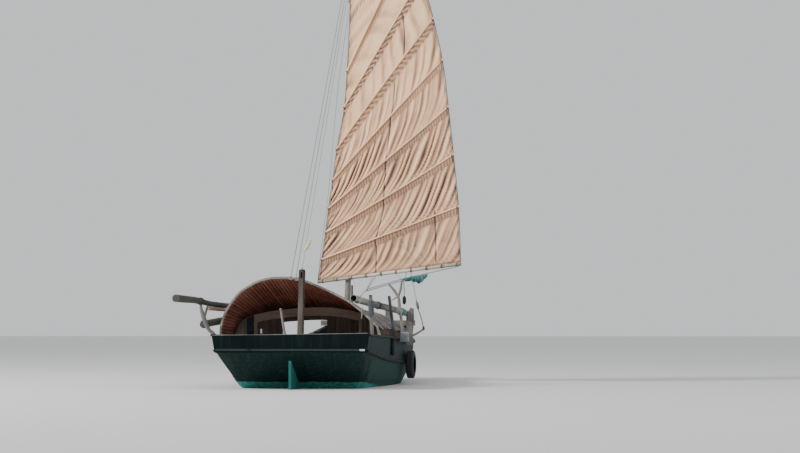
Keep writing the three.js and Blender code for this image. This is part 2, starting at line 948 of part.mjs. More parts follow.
const stickFoot = deckTop(880) + seatGap;
add(
  'stick',
  pole(
    [
      [-214, 900 + transomY, stickFoot, 24],
      [-214, 900 + transomY, stickFoot + 60, 24],
      [-271, 900 + transomY, 948, 23],
      [-336, 900 + transomY, 1325, 20],
      [-340, 900 + transomY, 1340, 27],
      [-345, 900 + transomY, 1372, 22],
    ],
    8,
  ),
  'paleWood',
);

// Rudder: a stock that turns in a collar on the deck, and a blade under the counter

const collarBase = deckTop(stockT - 131) + 0.1;
const collarTop = collarBase + 70;
function ringGeometry(outer, inner, height, sides) {
  const profile = [
    new THREE.Vector2(inner, 0),
    new THREE.Vector2(outer, 0),
    new THREE.Vector2(outer, height),
    new THREE.Vector2(inner, height),
    new THREE.Vector2(inner, 0),
  ];
  const geometry = new THREE.LatheGeometry(profile, sides);
  geometry.rotateX(Math.PI / 2);
  return geometry;
}
const collarGeometry = ringGeometry(130, stockRadius + 1.0, 70, 32);
collarGeometry.translate(0, stockT + transomY, collarBase);
add('rudder_collar', collarGeometry, 'greyWood');

const rudder = new THREE.Group();
rudder.position.set(0, stockT + transomY, 0);
boat.add(rudder);

const stockLow = pole(
  [
    [0, 0, bladeBottom, stockRadius],
    [0, 0, collarTop + 60, stockRadius],
  ],
  32,
);
const headFootZ = 1700;
const stockSquare = (rows) => rows.map(([z, x, w, d]) => [
  [x - w / 2, -d / 2 + 12, z],
  [x - w / 2 + 14, -d / 2, z],
  [x + w / 2 - 14, -d / 2, z],
  [x + w / 2, -d / 2 + 12, z],
  [x + w / 2, d / 2 - 12, z],
  [x + w / 2 - 14, d / 2, z],
  [x - w / 2 + 14, d / 2, z],
  [x - w / 2, d / 2 - 12, z],
]);
const stockHead = stockSquare([
  [collarTop + seatGap, 0, 112, 96],
  [900, -4, 110, 94],
  [1500, 8, 108, 92],
  [headFootZ - seatGap, 14, 109, 92],
]);
const headBlock = stockSquare([
  [headFootZ, 14, 109, 92],
  [stockTop - 30, 22, 110, 92],
  [stockTop, 22, 84, 70],
]);
const tillerSlot = box(5, 37, -120, 120, 1895, 1985);
add('rudder_stock', join(loft(stockHead), stockLow), 'greyWood', rudder);
add('rudder_head', cut(loft(headBlock), tillerSlot), 'greyWood', rudder);

// The blade's edge follows the counter above it, low enough to swing under it
const bladeOutline = [
  [-stockRadius - seatGap, bladeBottom + 20],
  [-900, bladeBottom],
  [-925, -300],
  [-930, 480],
  [-100, 2],
  [-stockRadius - seatGap, -22],
];
const bladeRing = (x) => bladeOutline.map(([y, z]) => [x, y, z]);
add('rudder_blade', loft([bladeRing(-bladeThickness / 2), bladeRing(bladeThickness / 2)]), 'teal', rudder);

// Mast, leaning a little to starboard, in a partner on the deck

const mastTurn = new THREE.Quaternion().setFromUnitVectors(
  new THREE.Vector3(0, 0, 1),
  new THREE.Vector3(mastLean, 0, 1).normalize(),
);
const mastGroup = new THREE.Group();
mastGroup.position.set(mastFoot.x, mastT + transomY, mastFoot.z);
mastGroup.quaternion.copy(mastTurn);
boat.add(mastGroup);

function mastRadius(h) {
  return rowAt(
    [
      [0, 62],
      [1500, 55],
      [8000, 38],
      [9900, 30],
    ],
    h,
  )[1];
}
add(
  'mast',
  pole(
    [0, 1500, 8000, mastLength].map((h) => [0, 0, h, mastRadius(h)]),
    24,
  ),
  'paleWood',
  mastGroup,
);
const partnerBase = deckTop(mastT + 170) + seatGap;
const partnerHole = pole(
  [-200, 700].map((h) => [
    mastFoot.x + (mastLean * h) / Math.hypot(1, mastLean),
    mastT + transomY,
    mastFoot.z + h,
    mastRadius(0) + 0.5,
  ]),
  24,
);
add(
  'mast_partner',
  cut(box(-290, 170, mastT - 170 + transomY, mastT + 170 + transomY, partnerBase, partnerBase + 130), partnerHole),
  'greyWood',
);
add(
  'side_pole',
  pole(
    [
      [121, 5385 + transomY, deckTop(5385 + 30) + seatGap, 29],
      [121, 5385 + transomY, 1862, 27],
    ],
    8,
  ),
  'greyWood',
);

// The sail's own frame: s outward along the foot, n forward of the cloth, h up the mast
const sailGroup = new THREE.Group();
sailGroup.rotation.z = (-sailRest * Math.PI) / 180;
mastGroup.add(sailGroup);

// Three.js turns the frame so that its x axis is s and its y axis is n
function sailPole(line, radius, taper, n, sides) {
  const [s0, h0, s1, h1] = line;
  return pole(
    [
      [s0, n, h0, radius],
      [s1, n, h1, radius * taper],
    ],
    sides,
  );
}

add('boom', sailPole(boomLine, boomRadius, 0.85, clothOffset, 12), 'bamboo', sailGroup);
add('yard', sailPole(yardLine, yardRadius, 0.8, clothOffset, 12), 'bamboo', sailGroup);
const battenN = clothOffset - clothThickness / 2 - seatGap - battenRadius * Math.cos(Math.PI / 8);
battenLines.forEach((line, i) => {
  const [s0, h0, s1, h1] = line;
  const run = Math.hypot(s1 - s0, h1 - h0);
  const over = 45 / run;
  const longer = [s0 - (s1 - s0) * over, h0 - (h1 - h0) * over, s1 + (s1 - s0) * over, h1 + (h1 - h0) * over];
  add(`batten_${i + 1}`, sailPole(longer, battenRadius, 0.8, battenN, 8), 'bamboo', sailGroup);
});

// The cloth runs from just above the boom to just under the yard
function shifted(line, d) {
  const [s0, h0, s1, h1] = line;
  const l = Math.hypot(s1 - s0, h1 - h0);
  const [ds, dh] = [(-(h1 - h0) / l) * d, ((s1 - s0) / l) * d];
  return [s0 + ds, h0 + dh, s1 + ds, h1 + dh];
}
const flatOf = Math.cos(Math.PI / 12); // a twelve-sided pole's flats lie this share of its radius out
const clothRows = [
  shifted(boomLine, boomRadius * flatOf + 0.5),
  ...battenLines,
  shifted(yardLine, -yardRadius * flatOf - 0.5),
];
const clothColumns = 10;
const clothGrid = (n) => {
  const rows = [];
  for (let i = 0; i + 1 < clothRows.length; i++) {
    const parts = 2;
    for (let k = 0; k < parts + (i + 2 === clothRows.length ? 1 : 0); k++) {
      const f = k / parts;
      const line = clothRows[i].map((v, c) => lerp(v, clothRows[i + 1][c], f));
      const row = [];
      for (let j = 0; j <= clothColumns; j++) {
        const g = j / clothColumns;
        row.push([lerp(line[0], line[2], g), n, lerp(line[1], line[3], g)]);
      }
      rows.push(row);
    }
  }
  return rows;
};
add(
  'sail_cloth',
  slab(clothGrid(clothOffset - clothThickness / 2), clothGrid(clothOffset + clothThickness / 2)),
  'cloth',
  sailGroup,
);

// Rope loops hold the boom and the yard to the mast, and the halyard hangs the yard from its head
const boomLoopH = lerp(boomLine[1], boomLine[3], -boomLine[0] / (boomLine[2] - boomLine[0]));
const boomHere = boomRadius * (1 - (0.15 * -boomLine[0]) / (boomLine[2] - boomLine[0])) * flatOf;
const boomFront = -clothOffset - boomHere;
const boomLoop = ringGeometry(boomFront - 0.4, mastRadius(boomLoopH - 20) + 0.9, 36, 28);
boomLoop.translate(0, 0, boomLoopH - 18);
add('parrel_boom', boomLoop, 'rope', sailGroup);
const yardLoopH = lerp(yardLine[1], yardLine[3], -yardLine[0] / (yardLine[2] - yardLine[0]));
const yardLoop = ringGeometry(-clothOffset - yardRadius - 1.2, mastRadius(yardLoopH - 20) + 0.9, 36, 28);
yardLoop.translate(0, 0, yardLoopH - 18);
add('parrel_yard', yardLoop, 'rope', sailGroup);
const slingS = 40;
const slingH = lerp(yardLine[1], yardLine[3], (slingS - yardLine[0]) / (yardLine[2] - yardLine[0]));
add(
  'halyard',
  pole(
    [
      [slingS - yardRadius - 10, clothOffset, slingH, 8],
      [0, -mastRadius(9640) - 8.1, 9640, 8],
    ],
    8,
  ),
  'rope',
  sailGroup,
);

// Stays from the masthead to the crown of the aft hoop
const mastDir = new THREE.Vector3(mastLean, 0, 1).normalize();
const headPoint = new THREE.Vector3(mastFoot.x, mastT + transomY, mastFoot.z).addScaledVector(mastDir, 9790);
for (const [name, x, dx] of [
  ['stay_port', -215, -14],
  ['stay_centre', -105, 14],
]) {
  const crown = archAt(hoopAftT, 0);
  let z = 0;
  for (let i = 1; i < crown.length; i++) {
    if (x <= crown[i][0] && x > crown[i - 1][0]) {
      z = lerp(crown[i - 1][1], crown[i][1], (x - crown[i - 1][0]) / (crown[i][0] - crown[i - 1][0]));
    }
  }
  add(
    name,
    pole(
      [
        [x, hoopAftT + 22 + transomY, z + 4.5, 9],
        [headPoint.x + dx, headPoint.y - 42, headPoint.z, 9],
      ],
      8,
    ),
    'rope',
  );
}

export default boat;
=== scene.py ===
import math

import bpy
import numpy as np
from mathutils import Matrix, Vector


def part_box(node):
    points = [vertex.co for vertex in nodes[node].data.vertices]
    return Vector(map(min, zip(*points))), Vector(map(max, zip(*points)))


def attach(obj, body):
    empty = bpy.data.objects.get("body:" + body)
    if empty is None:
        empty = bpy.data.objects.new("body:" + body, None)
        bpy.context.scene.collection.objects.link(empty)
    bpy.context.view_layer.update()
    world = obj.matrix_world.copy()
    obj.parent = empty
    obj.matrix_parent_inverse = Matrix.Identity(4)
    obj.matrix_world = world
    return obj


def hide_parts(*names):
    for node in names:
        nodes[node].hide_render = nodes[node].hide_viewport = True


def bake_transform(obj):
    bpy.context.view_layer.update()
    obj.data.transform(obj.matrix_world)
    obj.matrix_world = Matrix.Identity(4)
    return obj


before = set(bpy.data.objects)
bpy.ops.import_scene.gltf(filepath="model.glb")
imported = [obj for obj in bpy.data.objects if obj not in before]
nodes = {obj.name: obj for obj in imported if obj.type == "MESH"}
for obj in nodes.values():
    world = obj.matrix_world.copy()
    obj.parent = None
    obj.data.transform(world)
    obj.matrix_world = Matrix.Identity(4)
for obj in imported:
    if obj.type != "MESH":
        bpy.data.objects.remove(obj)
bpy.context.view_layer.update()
print("frame loaded with", len(nodes), "nodes")

transomY = -4.25  # the tables below give t, metres forward of the transom


# camera, floor and light

# the photograph's eye: 35 m aft of the transom, 7 m to starboard and 1 m above the water
view = {"place": (7.18, -39.53, 1.0), "turnDeg": 8.56, "tiltDeg": 2.763, "lensMm": 96.44}
cameraData = bpy.data.cameras.new("viewCamera")
cameraData.sensor_width = 36
cameraData.lens = view["lensMm"]
cameraData.clip_end = 500
cameraObject = bpy.data.objects.new("viewCamera", cameraData)
cameraObject.location = view["place"]
cameraObject.rotation_euler = (math.radians(90 + view["tiltDeg"]), 0, math.radians(view["turnDeg"]))
bpy.context.scene.collection.objects.link(cameraObject)
bpy.context.scene.camera = cameraObject


def hexColour(text):
    # sRGB hex to linear: below 0.04045 divide by 12.92, above it ((c + 0.055) / 1.055) to the 2.4
    raw = [int(text[i : i + 2], 16) / 255 for i in (1, 3, 5)]
    return [c / 12.92 if c <= 0.04045 else ((c + 0.055) / 1.055) ** 2.4 for c in raw] + [1.0]


def addNode(tree, kind, values=None, links=None, stops=(), **settings):
    # one shader node with its settings, socket values, links (each a node and its output) and colour stops
    node = tree.nodes.new("ShaderNode" + kind)
    for key, value in settings.items():
        setattr(node, key, value)
    for key, value in (values or {}).items():
        node.inputs[key].default_value = value
    for key, (source, output) in (links or {}).items():
        tree.links.new(source.outputs[output], node.inputs[key])
    while stops and len(node.color_ramp.elements) < len(stops):
        node.color_ramp.elements.new(0.5)
    for k, (place, colour) in enumerate(stops):
        node.color_ramp.elements[k].position = place
        node.color_ramp.elements[k].color = hexColour(colour)
    return node


def newMaterial(name, roughness=0.6, gloss=0.5):
    # an empty material: its tree and its shader, with the shader's roughness and plain gloss
    material = bpy.data.materials.new(name)
    material.use_nodes = True
    shader = material.node_tree.nodes["Principled BSDF"]
    shader.inputs["Roughness"].default_value = roughness
    shader.inputs["Specular IOR Level"].default_value = gloss
    return material, material.node_tree, shader


def wire(tree, shader, colour, bump=None):
    # the finished colour, and the bump where there is one, reach the shader
    tree.links.new(colour[0].outputs[colour[1]], shader.inputs["Base Color"])
    if bump:
        tree.links.new(bump.outputs["Normal"], shader.inputs["Normal"])


def mottled(name, roughness, noiseValues, stops, space="Object"):
    # a smooth moulded or dyed surface whose colour drifts between the stops with a soft noise
    material, tree, shader = newMaterial(name, roughness)
    source = addNode(tree, "TexCoord")
    noise = addNode(tree, "TexNoise", noiseValues, {"Vector": (source, space)})
    wire(tree, shader, (addNode(tree, "ValToRGB", links={"Fac": (noise, "Fac")}, stops=stops), "Color"))
    return material


floorMaterial, _, floorShader = newMaterial("paleStudioFloor", 0.85)
floorShader.inputs["Base Color"].default_value = hexColour("#dcdcda")
floorMesh = bpy.data.meshes.new("floor")
floorMesh.from_pydata([(-300, -300, 0), (300, -300, 0), (300, 300, 0), (-300, 300, 0)], [], [(0, 1, 2, 3)])
floorMesh.materials.append(floorMaterial)
floorObject = bpy.data.objects.new("floor", floorMesh)
bpy.context.scene.collection.objects.link(floorObject)

world = bpy.data.worlds.new("studio")
world.use_nodes = True
world.node_tree.nodes["Background"].inputs["Color"].default_value = hexColour("#e6e8ea")
world.node_tree.nodes["Background"].inputs["Strength"].default_value = 0.95
bpy.context.scene.world = world

lights = {
    "keyLight": {"place": (-26, -17, 21), "aim": (0, 0, 4), "size": 7, "watts": 12500},
    "fillLight": {"place": (20, -20, 9), "aim": (0, 0, 2), "size": 12, "watts": 600},
}
for lightName, light in lights.items():
    lightData = bpy.data.lights.new(lightName, "AREA")
    lightData.energy = light["watts"]
    lightData.size = light["size"]
    lightObject = bpy.data.objects.new(lightName, lightData)
    way = np.array(light["aim"], float) - np.array(light["place"], float)
    lightObject.location = light["place"]
    lightObject.rotation_euler = (
        math.atan2(math.hypot(way[0], way[1]), -way[2]),
        0,
        math.atan2(way[1], way[0]) - math.pi / 2,
    )
    bpy.context.scene.collection.objects.link(lightObject)
print("camera, floor and light are set")


# numbers and meshes


def ripple(a, b, seed, waves=6, fine=6.0):
    # sum of sine waves in seeded directions over two coordinates, about -1 to 1
    pick = np.random.default_rng(seed)
    total = 0
    for k in range(waves):
        size = 1 + fine * k / waves
        turn = pick.uniform(0, 2 * math.pi)
        shift = pick.uniform(0, 2 * math.pi)
        total = total + np.sin(size * (np.cos(turn) * a + np.sin(turn) * b) + shift) / (1 + 0.6 * k)
    return total / 2.2


def curveThrough(x, xs, ys):
    # cubic through the points (xs, ys), each slope the mean of its neighbours' slopes
    xs = np.asarray(xs, float)
    ys = np.asarray(ys, float)
    x = np.clip(np.asarray(x, float), xs[0], xs[-1])
    run = np.diff(xs)
    rise = (ys[1:] - ys[:-1]) / (run if ys.ndim == 1 else run[:, None])
    slope = np.concatenate([rise[:1], (rise[1:] + rise[:-1]) / 2, rise[-1:]])
    i = np.clip(np.searchsorted(xs, x, side="right") - 1, 0, len(xs) - 2)
    h = run[i]
    f = (x - xs[i]) / h
    if ys.ndim > 1:
        f = f[..., None]
        h = h[..., None]
    return (
        ys[i] * (2 * f**3 - 3 * f**2 + 1)
        + slope[i] * h * (f**3 - 2 * f**2 + f)
        + ys[i + 1] * (3 * f**2 - 2 * f**3)
        + slope[i + 1] * h * (f**3 - f**2)
    )


def lengthsAlong(points):
    # running length of a line of points, from 0
    return np.concatenate([[0], np.cumsum(np.linalg.norm(np.diff(points, axis=0), axis=1))])


def pathThrough(points, count):
    # evenly counted points on the cubic through the given ones
    points = np.asarray(points, float)
    run = lengthsAlong(points)
    return curveThrough(np.linspace(0, run[-1], count), run, points)


def buildMesh(name, points, quads, caps, uvs, tone, sharpDeg):
    # whole arrays go into the mesh: quads first and then the end caps, whose UV stays at zero
    mesh = bpy.data.meshes.new(name)
    corners = np.concatenate([quads.reshape(-1), *caps])
    sizes = np.array([4] * len(quads) + [len(cap) for cap in caps])
    mesh.vertices.add(len(points))
    mesh.vertices.foreach_set("co", points.astype(np.float32).ravel())
    mesh.loops.add(len(corners))
    mesh.loops.foreach_set("vertex_index", corners.astype(np.int32))
    mesh.polygons.add(len(sizes))
    mesh.polygons.foreach_set("loop_start", np.concatenate([[0], np.cumsum(sizes)[:-1]]).astype(np.int32))
    mesh.polygons.foreach_set("use_smooth", np.ones(len(sizes), dtype=bool))
    mesh.update(calc_edges=True)
    flat = np.zeros((len(corners), 2), np.float32)
    flat[: len(uvs)] = uvs
    mesh.uv_layers.new(name="surface").data.foreach_set("uv", flat.ravel())
    if tone is not None:
        mesh.attributes.new("tone", "FLOAT", "POINT").data.foreach_set("value", tone.astype(np.float32).ravel())
    mesh.validate()
    mesh.set_sharp_from_angle(angle=math.radians(sharpDeg))
    return mesh


def gridPiece(name, grid, closeRows=False, closeColumns=False, across=None, along=None, tone=None, sharpDeg=38):
    # a grid of points, rows by columns, becomes quads; its UV is metres across and along
    rows, cols = grid.shape[:2]
    rr, cc = (line.ravel() for line in np.meshgrid(
        np.arange(rows if closeRows else rows - 1), np.arange(cols if closeColumns else cols - 1), indexing="ij"
    ))
    r1 = (rr + 1) % rows
    c1 = (cc + 1) % cols
    quads = np.stack([rr * cols + cc, rr * cols + c1, r1 * cols + c1, r1 * cols + cc], 1)
    if along is None:
        along = lengthsAlong(grid[:, 0])
    if across is None:
        across = lengthsAlong(grid[rows // 2])
    # one more mark closes the last strip of a ring
    along = np.append(along, along[-1] + 0.01) if len(along) == rows else along
    across = np.append(across, across[-1] + across[1]) if len(across) == cols else across
    corners = ((0, 0), (1, 0), (1, 1), (0, 1))
    uvs = np.stack([np.stack([across[cc + i], along[rr + j]], 1) for i, j in corners], 1).reshape(-1, 2)
    points = grid.reshape(-1, 3)
    # a tube has a cap at each end, and a ring has none
    caps = [np.arange(cols)[::-1], (rows - 1) * cols + np.arange(cols)] if closeColumns and not closeRows else []
    if closeColumns:
        # the signed volume of the closed shape tells which way its faces point
        a, b, c, d = (points[quads[:, k]] for k in range(4))
        volume = np.sum(np.cross(b - a, d - a) * a) + np.sum(np.cross(d - c, b - c) * c)
        if volume < 0:
            quads = quads[:, ::-1]
            uvs = uvs.reshape(-1, 4, 2)[:, ::-1].reshape(-1, 2)
            caps = [cap[::-1] for cap in caps]
    piece = bpy.data.objects.new(name, buildMesh(name, points, quads, caps, uvs, tone, sharpDeg))
    bpy.context.scene.collection.objects.link(piece)
    return piece


def ringsAlong(path, radii, sides, flat=1.0):
    # a ring of the given radius round each point of a path, square to the path there
    path = np.asarray(path, float)
    way = np.gradient(path, axis=0)
    way /= np.linalg.norm(way, axis=1)[:, None]
    spare = np.array([0, 0, 1.0]) if abs(way[:, 2]).mean() < 0.8 else np.array([0, 1.0, 0])
    u = np.cross(way, spare)
    u /= np.linalg.norm(u, axis=1)[:, None]
    v = np.cross(u, way)
    q = onceRound(sides)
    radii = np.asarray(radii, float)
    if radii.ndim < 2:
        radii = np.broadcast_to(radii[..., None], (len(path), sides))
    return path[:, None] + radii[..., None] * (
        u[:, None] * np.cos(q)[None, :, None] + flat * v[:, None] * np.sin(q)[None, :, None]
    )


def polePiece(name, path, radii, sides=20, flat=1.0, tone=None, sharpDeg=50):
    # a closed tube along a path; its UV runs round by the mean girth and along by the path's length
    return gridPiece(name, ringsAlong(path, radii, sides, flat), closeColumns=True,
                     across=np.linspace(0, 2 * math.pi * float(np.mean(radii)), sides + 1),
                     along=lengthsAlong(np.asarray(path, float)), tone=tone, sharpDeg=sharpDeg)


def joined(name, pieces):
    # several pieces become one mesh
    bpy.ops.object.select_all(action="DESELECT")
    for piece in pieces:
        piece.select_set(True)
    bpy.context.view_layer.objects.active = pieces[0]
    bpy.ops.object.join()
    pieces[0].name = name
    pieces[0].data.name = name
    return pieces[0]


def fit(piece, material, body, slot, *replaced):
    # a new piece gets its finish, rides on a body and stands for the CAD nodes named last
    piece.data.materials.clear()
    piece.data.materials.append(material)
    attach(piece, body)
    if replaced:
        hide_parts(*replaced)
    return piece


def dress(nodeName, material):
    # a CAD node keeps its shape and gets its finish
    node = nodes[nodeName]
    if not node.material_slots:
        node.data.materials.append(material)
    for held in node.material_slots:
        held.material = material


def thicken(piece, thickness, side=-1):
    # a surface becomes a wall: side -1 grows it inwards, 0 to both sides
    solid = piece.modifiers.new("wall", "SOLIDIFY")
    solid.thickness = thickness
    solid.offset = side


def onceRound(count):
    # evenly spread angles once round
    return np.linspace(0, 2 * math.pi, count, endpoint=False)


def roundedSquare(q, power):
    # the two coordinates of a square with rounded corners: a cosine and a sine, each raised to a small power
    return [np.sign(wave) * np.abs(wave) ** power for wave in (np.cos(q), np.sin(q))]


# timber and paint


def plankSeams(tree, coordinates, across, plankMm, seamMm, low=0.0):
    # a zigzag one plank wide gives the distance to the nearest seam; the count says which plank it is
    parts = addNode(tree, "SeparateXYZ", links={"Vector": coordinates})
    count = addNode(tree, "Math", {1: 1000 / plankMm}, {0: (parts, across)}, operation="MULTIPLY")
    spot = addNode(tree, "Math", {1: 1.0}, {0: (count, 0)}, operation="PINGPONG")
    seam = addNode(tree, "MapRange", {"From Min": 0.0, "From Max": seamMm / plankMm, "To Min": low},
                   {"Value": (spot, 0)}, interpolation_type="SMOOTHSTEP")
    return count, seam


def timber(name, stops, axis="Y", fromUv=False, grainMm=4, longMm=160, plankMm=0, seamMm=5, seamAcross="X",
           roughness=0.82, bumpMm=1.5, stains=0.35, toneShare=0.0):
    # bare sawn timber: fibres run along one axis as fine streaks, with broad grey stains; plankMm opens seams
    # and gives each board a shade of its own, and toneShare is how much the mesh's own tone counts
    material, tree, shader = newMaterial(name, roughness, 0.2)
    source = addNode(tree, "TexCoord")
    coordinates = (source, "UV" if fromUv else "Object")
    # one unit of noise holds about six streaks
    fine = 1000 / grainMm / 6
    coarse = 1000 / longMm / 6
    scale = {"X": (coarse, fine, fine), "Y": (fine, coarse, fine), "Z": (fine, fine, coarse)}[axis]
    stretch = addNode(tree, "Mapping", {"Scale": scale}, {"Vector": coordinates})
    grain = addNode(tree, "TexNoise", {"Scale": 1.0, "Detail": 6, "Roughness": 0.62, "Distortion": 0.4},
                    {"Vector": (stretch, "Vector")})
    blotch = addNode(tree, "TexNoise", {"Scale": 2.3, "Detail": 5, "Roughness": 0.6}, {"Vector": coordinates})
    mixed = addNode(tree, "Math", {1: 1 - stains}, {0: (grain, "Fac")}, operation="MULTIPLY")
    blotched = addNode(tree, "Math", {1: stains}, {0: (blotch, "Fac")}, operation="MULTIPLY")
    factor = addNode(tree, "Math", links={0: (mixed, 0), 1: (blotched, 0)}, operation="ADD")
    if toneShare:
        attribute = addNode(tree, "Attribute", attribute_name="tone")
        centred = addNode(tree, "Math", {1: 0.5}, {0: (attribute, "Fac")}, operation="SUBTRACT")
        weighed = addNode(tree, "Math", {1: toneShare}, {0: (centred, 0)}, operation="MULTIPLY")
        factor = addNode(tree, "Math", links={0: (factor, 0), 1: (weighed, 0)}, operation="ADD")
    result = (addNode(tree, "ValToRGB", links={"Fac": (factor, 0)}, stops=stops), "Color")
    height = (grain, "Fac")
    if plankMm:
        # the board's own number picks its shade
        count, seam = plankSeams(tree, coordinates, seamAcross, plankMm, seamMm)
        board = addNode(tree, "Math", links={0: (count, 0)}, operation="FLOOR")
        lot = addNode(tree, "TexWhiteNoise", links={"W": (board, 0)}, noise_dimensions="1D")
        level = addNode(tree, "MapRange", {"To Min": 0.72, "To Max": 1.12}, {"Value": (lot, "Value")})
        varied = addNode(tree, "VectorMath", links={0: result, 1: (level, 0)}, operation="MULTIPLY")
        result = (addNode(tree, "Mix", {6: hexColour("#1c1715")}, {0: (seam, 0), 7: (varied, 0)},
                          data_type="RGBA"), 2)
        summed = addNode(tree, "Math", {1: 2.0}, {0: (seam, 0)}, operation="MULTIPLY")
        height = (addNode(tree, "Math", links={0: (summed, 0), 1: (grain, "Fac")}, operation="ADD"), 0)
    wire(tree, shader, result,
         addNode(tree, "Bump", {"Strength": 0.8, "Distance": bumpMm / 1000}, {"Height": height}))
    return material


def paintedTimber(name, paint, worn, bare, wearLevel=0.62, plankMm=0, seamAcross="Z", fromUv=False, bands=(),
                  patches=(), bandFall=0.0, gloss=0.12):
    # brushed oil paint on planks: even colour that dulls in streaks, chips to grey wood, open plank seams
    material, tree, shader = newMaterial(name, 0.62, gloss)
    source = addNode(tree, "TexCoord")
    place = (source, "Object")
    coordinates = (source, "UV") if fromUv else place
    streaks = addNode(tree, "Mapping", {"Scale": (9, 9, 1.2)}, {"Vector": place})
    streak = addNode(tree, "TexNoise", {"Scale": 1.6, "Detail": 7, "Roughness": 0.65},
                     {"Vector": (streaks, "Vector")})
    result = (addNode(tree, "ValToRGB", links={"Fac": (streak, "Fac")},
                      stops=[(0.3, paint), (0.52, paint), (0.75, worn)]), "Color")
    parts = addNode(tree, "SeparateXYZ", links={"Vector": place})
    wave = addNode(tree, "TexNoise", {"Scale": 3.0, "Detail": 4}, {"Vector": place})
    wobble = addNode(tree, "Math", {1: 0.05}, {0: (wave, "Fac")}, operation="MULTIPLY")
    level = addNode(tree, "Math", links={0: (parts, "Z"), 1: (wobble, 0)}, operation="ADD")
    # the bands sink towards the bow by bandFall a metre, from 3.55 m abaft the origin
    sunk = addNode(tree, "Math", {1: bandFall, 2: 3.55 * bandFall}, {0: (parts, "Y")}, operation="MULTIPLY_ADD")
    level = addNode(tree, "Math", links={0: (level, 0), 1: (sunk, 0)}, operation="ADD")
    for low, high, colour in bands:
        # a band of another paint between two heights, its edges 12 mm soft
        rise = addNode(tree, "MapRange", {"From Min": low, "From Max": low + 0.012}, {"Value": (level, 0)})
        fall = addNode(tree, "MapRange", {"From Min": high, "From Max": high + 0.012, "To Min": 1.0, "To Max": 0.0},
                       {"Value": (level, 0)})
        both = addNode(tree, "Math", links={0: (rise, 0), 1: (fall, 0)}, operation="MULTIPLY")
        dull = addNode(tree, "ValToRGB", links={"Fac": (streak, "Fac")}, stops=[(0.3, colour), (0.8, worn)])
        result = (addNode(tree, "Mix", links={0: (both, 0), 6: result, 7: (dull, "Color")},
                          data_type="RGBA"), 2)
    chips = addNode(tree, "TexNoise", {"Scale": 7.0, "Detail": 9, "Roughness": 0.72}, {"Vector": place})
    chip = addNode(tree, "MapRange", {"From Min": wearLevel, "From Max": wearLevel + 0.05},
                   {"Value": (chips, "Fac")})
    result = (addNode(tree, "Mix", {7: hexColour(bare)}, {0: (chip, 0), 6: result}, data_type="RGBA"), 2)
    for centre, size, colour in patches:
        # a local patch: distance from its centre in its own half sizes, roughened by the chips' noise
        shifted = addNode(tree, "Mapping", {"Location": [-c / s for c, s in zip(centre, size)],
                                            "Scale": [1 / s for s in size]}, {"Vector": place})
        far = addNode(tree, "VectorMath", links={0: (shifted, "Vector")}, operation="LENGTH")
        rough = addNode(tree, "Math", {1: 1.2}, {0: (chips, "Fac")}, operation="MULTIPLY")
        edge = addNode(tree, "Math", links={0: (far, "Value"), 1: (rough, 0)}, operation="ADD")
        inside = addNode(tree, "MapRange", {"From Min": 1.5, "From Max": 1.7, "To Min": 0.85, "To Max": 0.0},
                         {"Value": (edge, 0)})
        result = (addNode(tree, "Mix", {7: hexColour(colour)}, {0: (inside, 0), 6: result},
                          data_type="RGBA"), 2)
    height = (streak, "Fac")
    if plankMm:
        # seams 9 mm wide, filled with old paint, so they keep 0.4 of the colour
        _, seam = plankSeams(tree, coordinates, seamAcross, plankMm, 9, 0.4)
        result = (addNode(tree, "Mix", {6: hexColour("#0c1111")}, {0: (seam, 0), 7: result},
                          data_type="RGBA"), 2)
        height = (addNode(tree, "Math", links={0: (seam, 0), 1: (streak, "Fac")}, operation="ADD"), 0)
    lifted = addNode(tree, "Math", {1: -0.5}, {0: (chip, 0)}, operation="MULTIPLY")
    relief = addNode(tree, "Math", links={0: height, 1: (lifted, 0)}, operation="ADD")
    wire(tree, shader, result,
         addNode(tree, "Bump", {"Strength": 0.7, "Distance": 0.004}, {"Height": (relief, 0)}))
    return material


greyStops = [(0.25, "#3f3c38"), (0.5, "#6d6a66"), (0.75, "#989591")]
paleStops = [(0.25, "#5f5b56"), (0.5, "#89857f"), (0.75, "#b7b3ac")]
brownStops = [(0.25, "#736259"), (0.5, "#a49184"), (0.75, "#c1b2a6")]

# the hull's paint is nearly black green above a teal band at the waterline; the lighter, greener patch along the
# starboard side is painted light, for the light that falls on that side
hullPaint = paintedTimber(
    "weatheredOilPaintOnHullPlanks", "#162a29", "#284543", "#4c625d", 0.69, 170, "X", True,
    bands=[(-0.9, 0.135, "#48aba1")], bandFall=0.055, gloss=0.07,
    patches=[((-1.2, -3.95, 0.35), (0.16, 0.5, 0.32), "#293633"),
             ((1.35, -1.1, 0.35), (0.4, 2.5, 0.5), "#264843")],
)
# the transom's paint is the hull's paint darkened, painted shade for the shaded end, and the bow board takes it
# too; the peg on the transom's edge is bare and pale
transomPaint = paintedTimber(
    "weatheredOilPaintOnTransom", "#0e191a", "#182728", "#6a7370", 0.7,
    gloss=0.05, patches=[((-0.491, -4.2, 0.985), (0.04, 0.3, 0.045), "#a3a29c")],
)
railPaint = paintedTimber("weatheredBlueGreyPaintOnTopsides", "#0e2627", "#1f3f3e", "#53625e", 0.66, 150)
gunwalePaint = paintedTimber("rubbedPaintOnGunwale", "#1d2828", "#3a4643", "#85827a", 0.58)
strakePaint = paintedTimber("rubbedPaintOnStrake", "#131e1e", "#293836", "#686b67", 0.6)
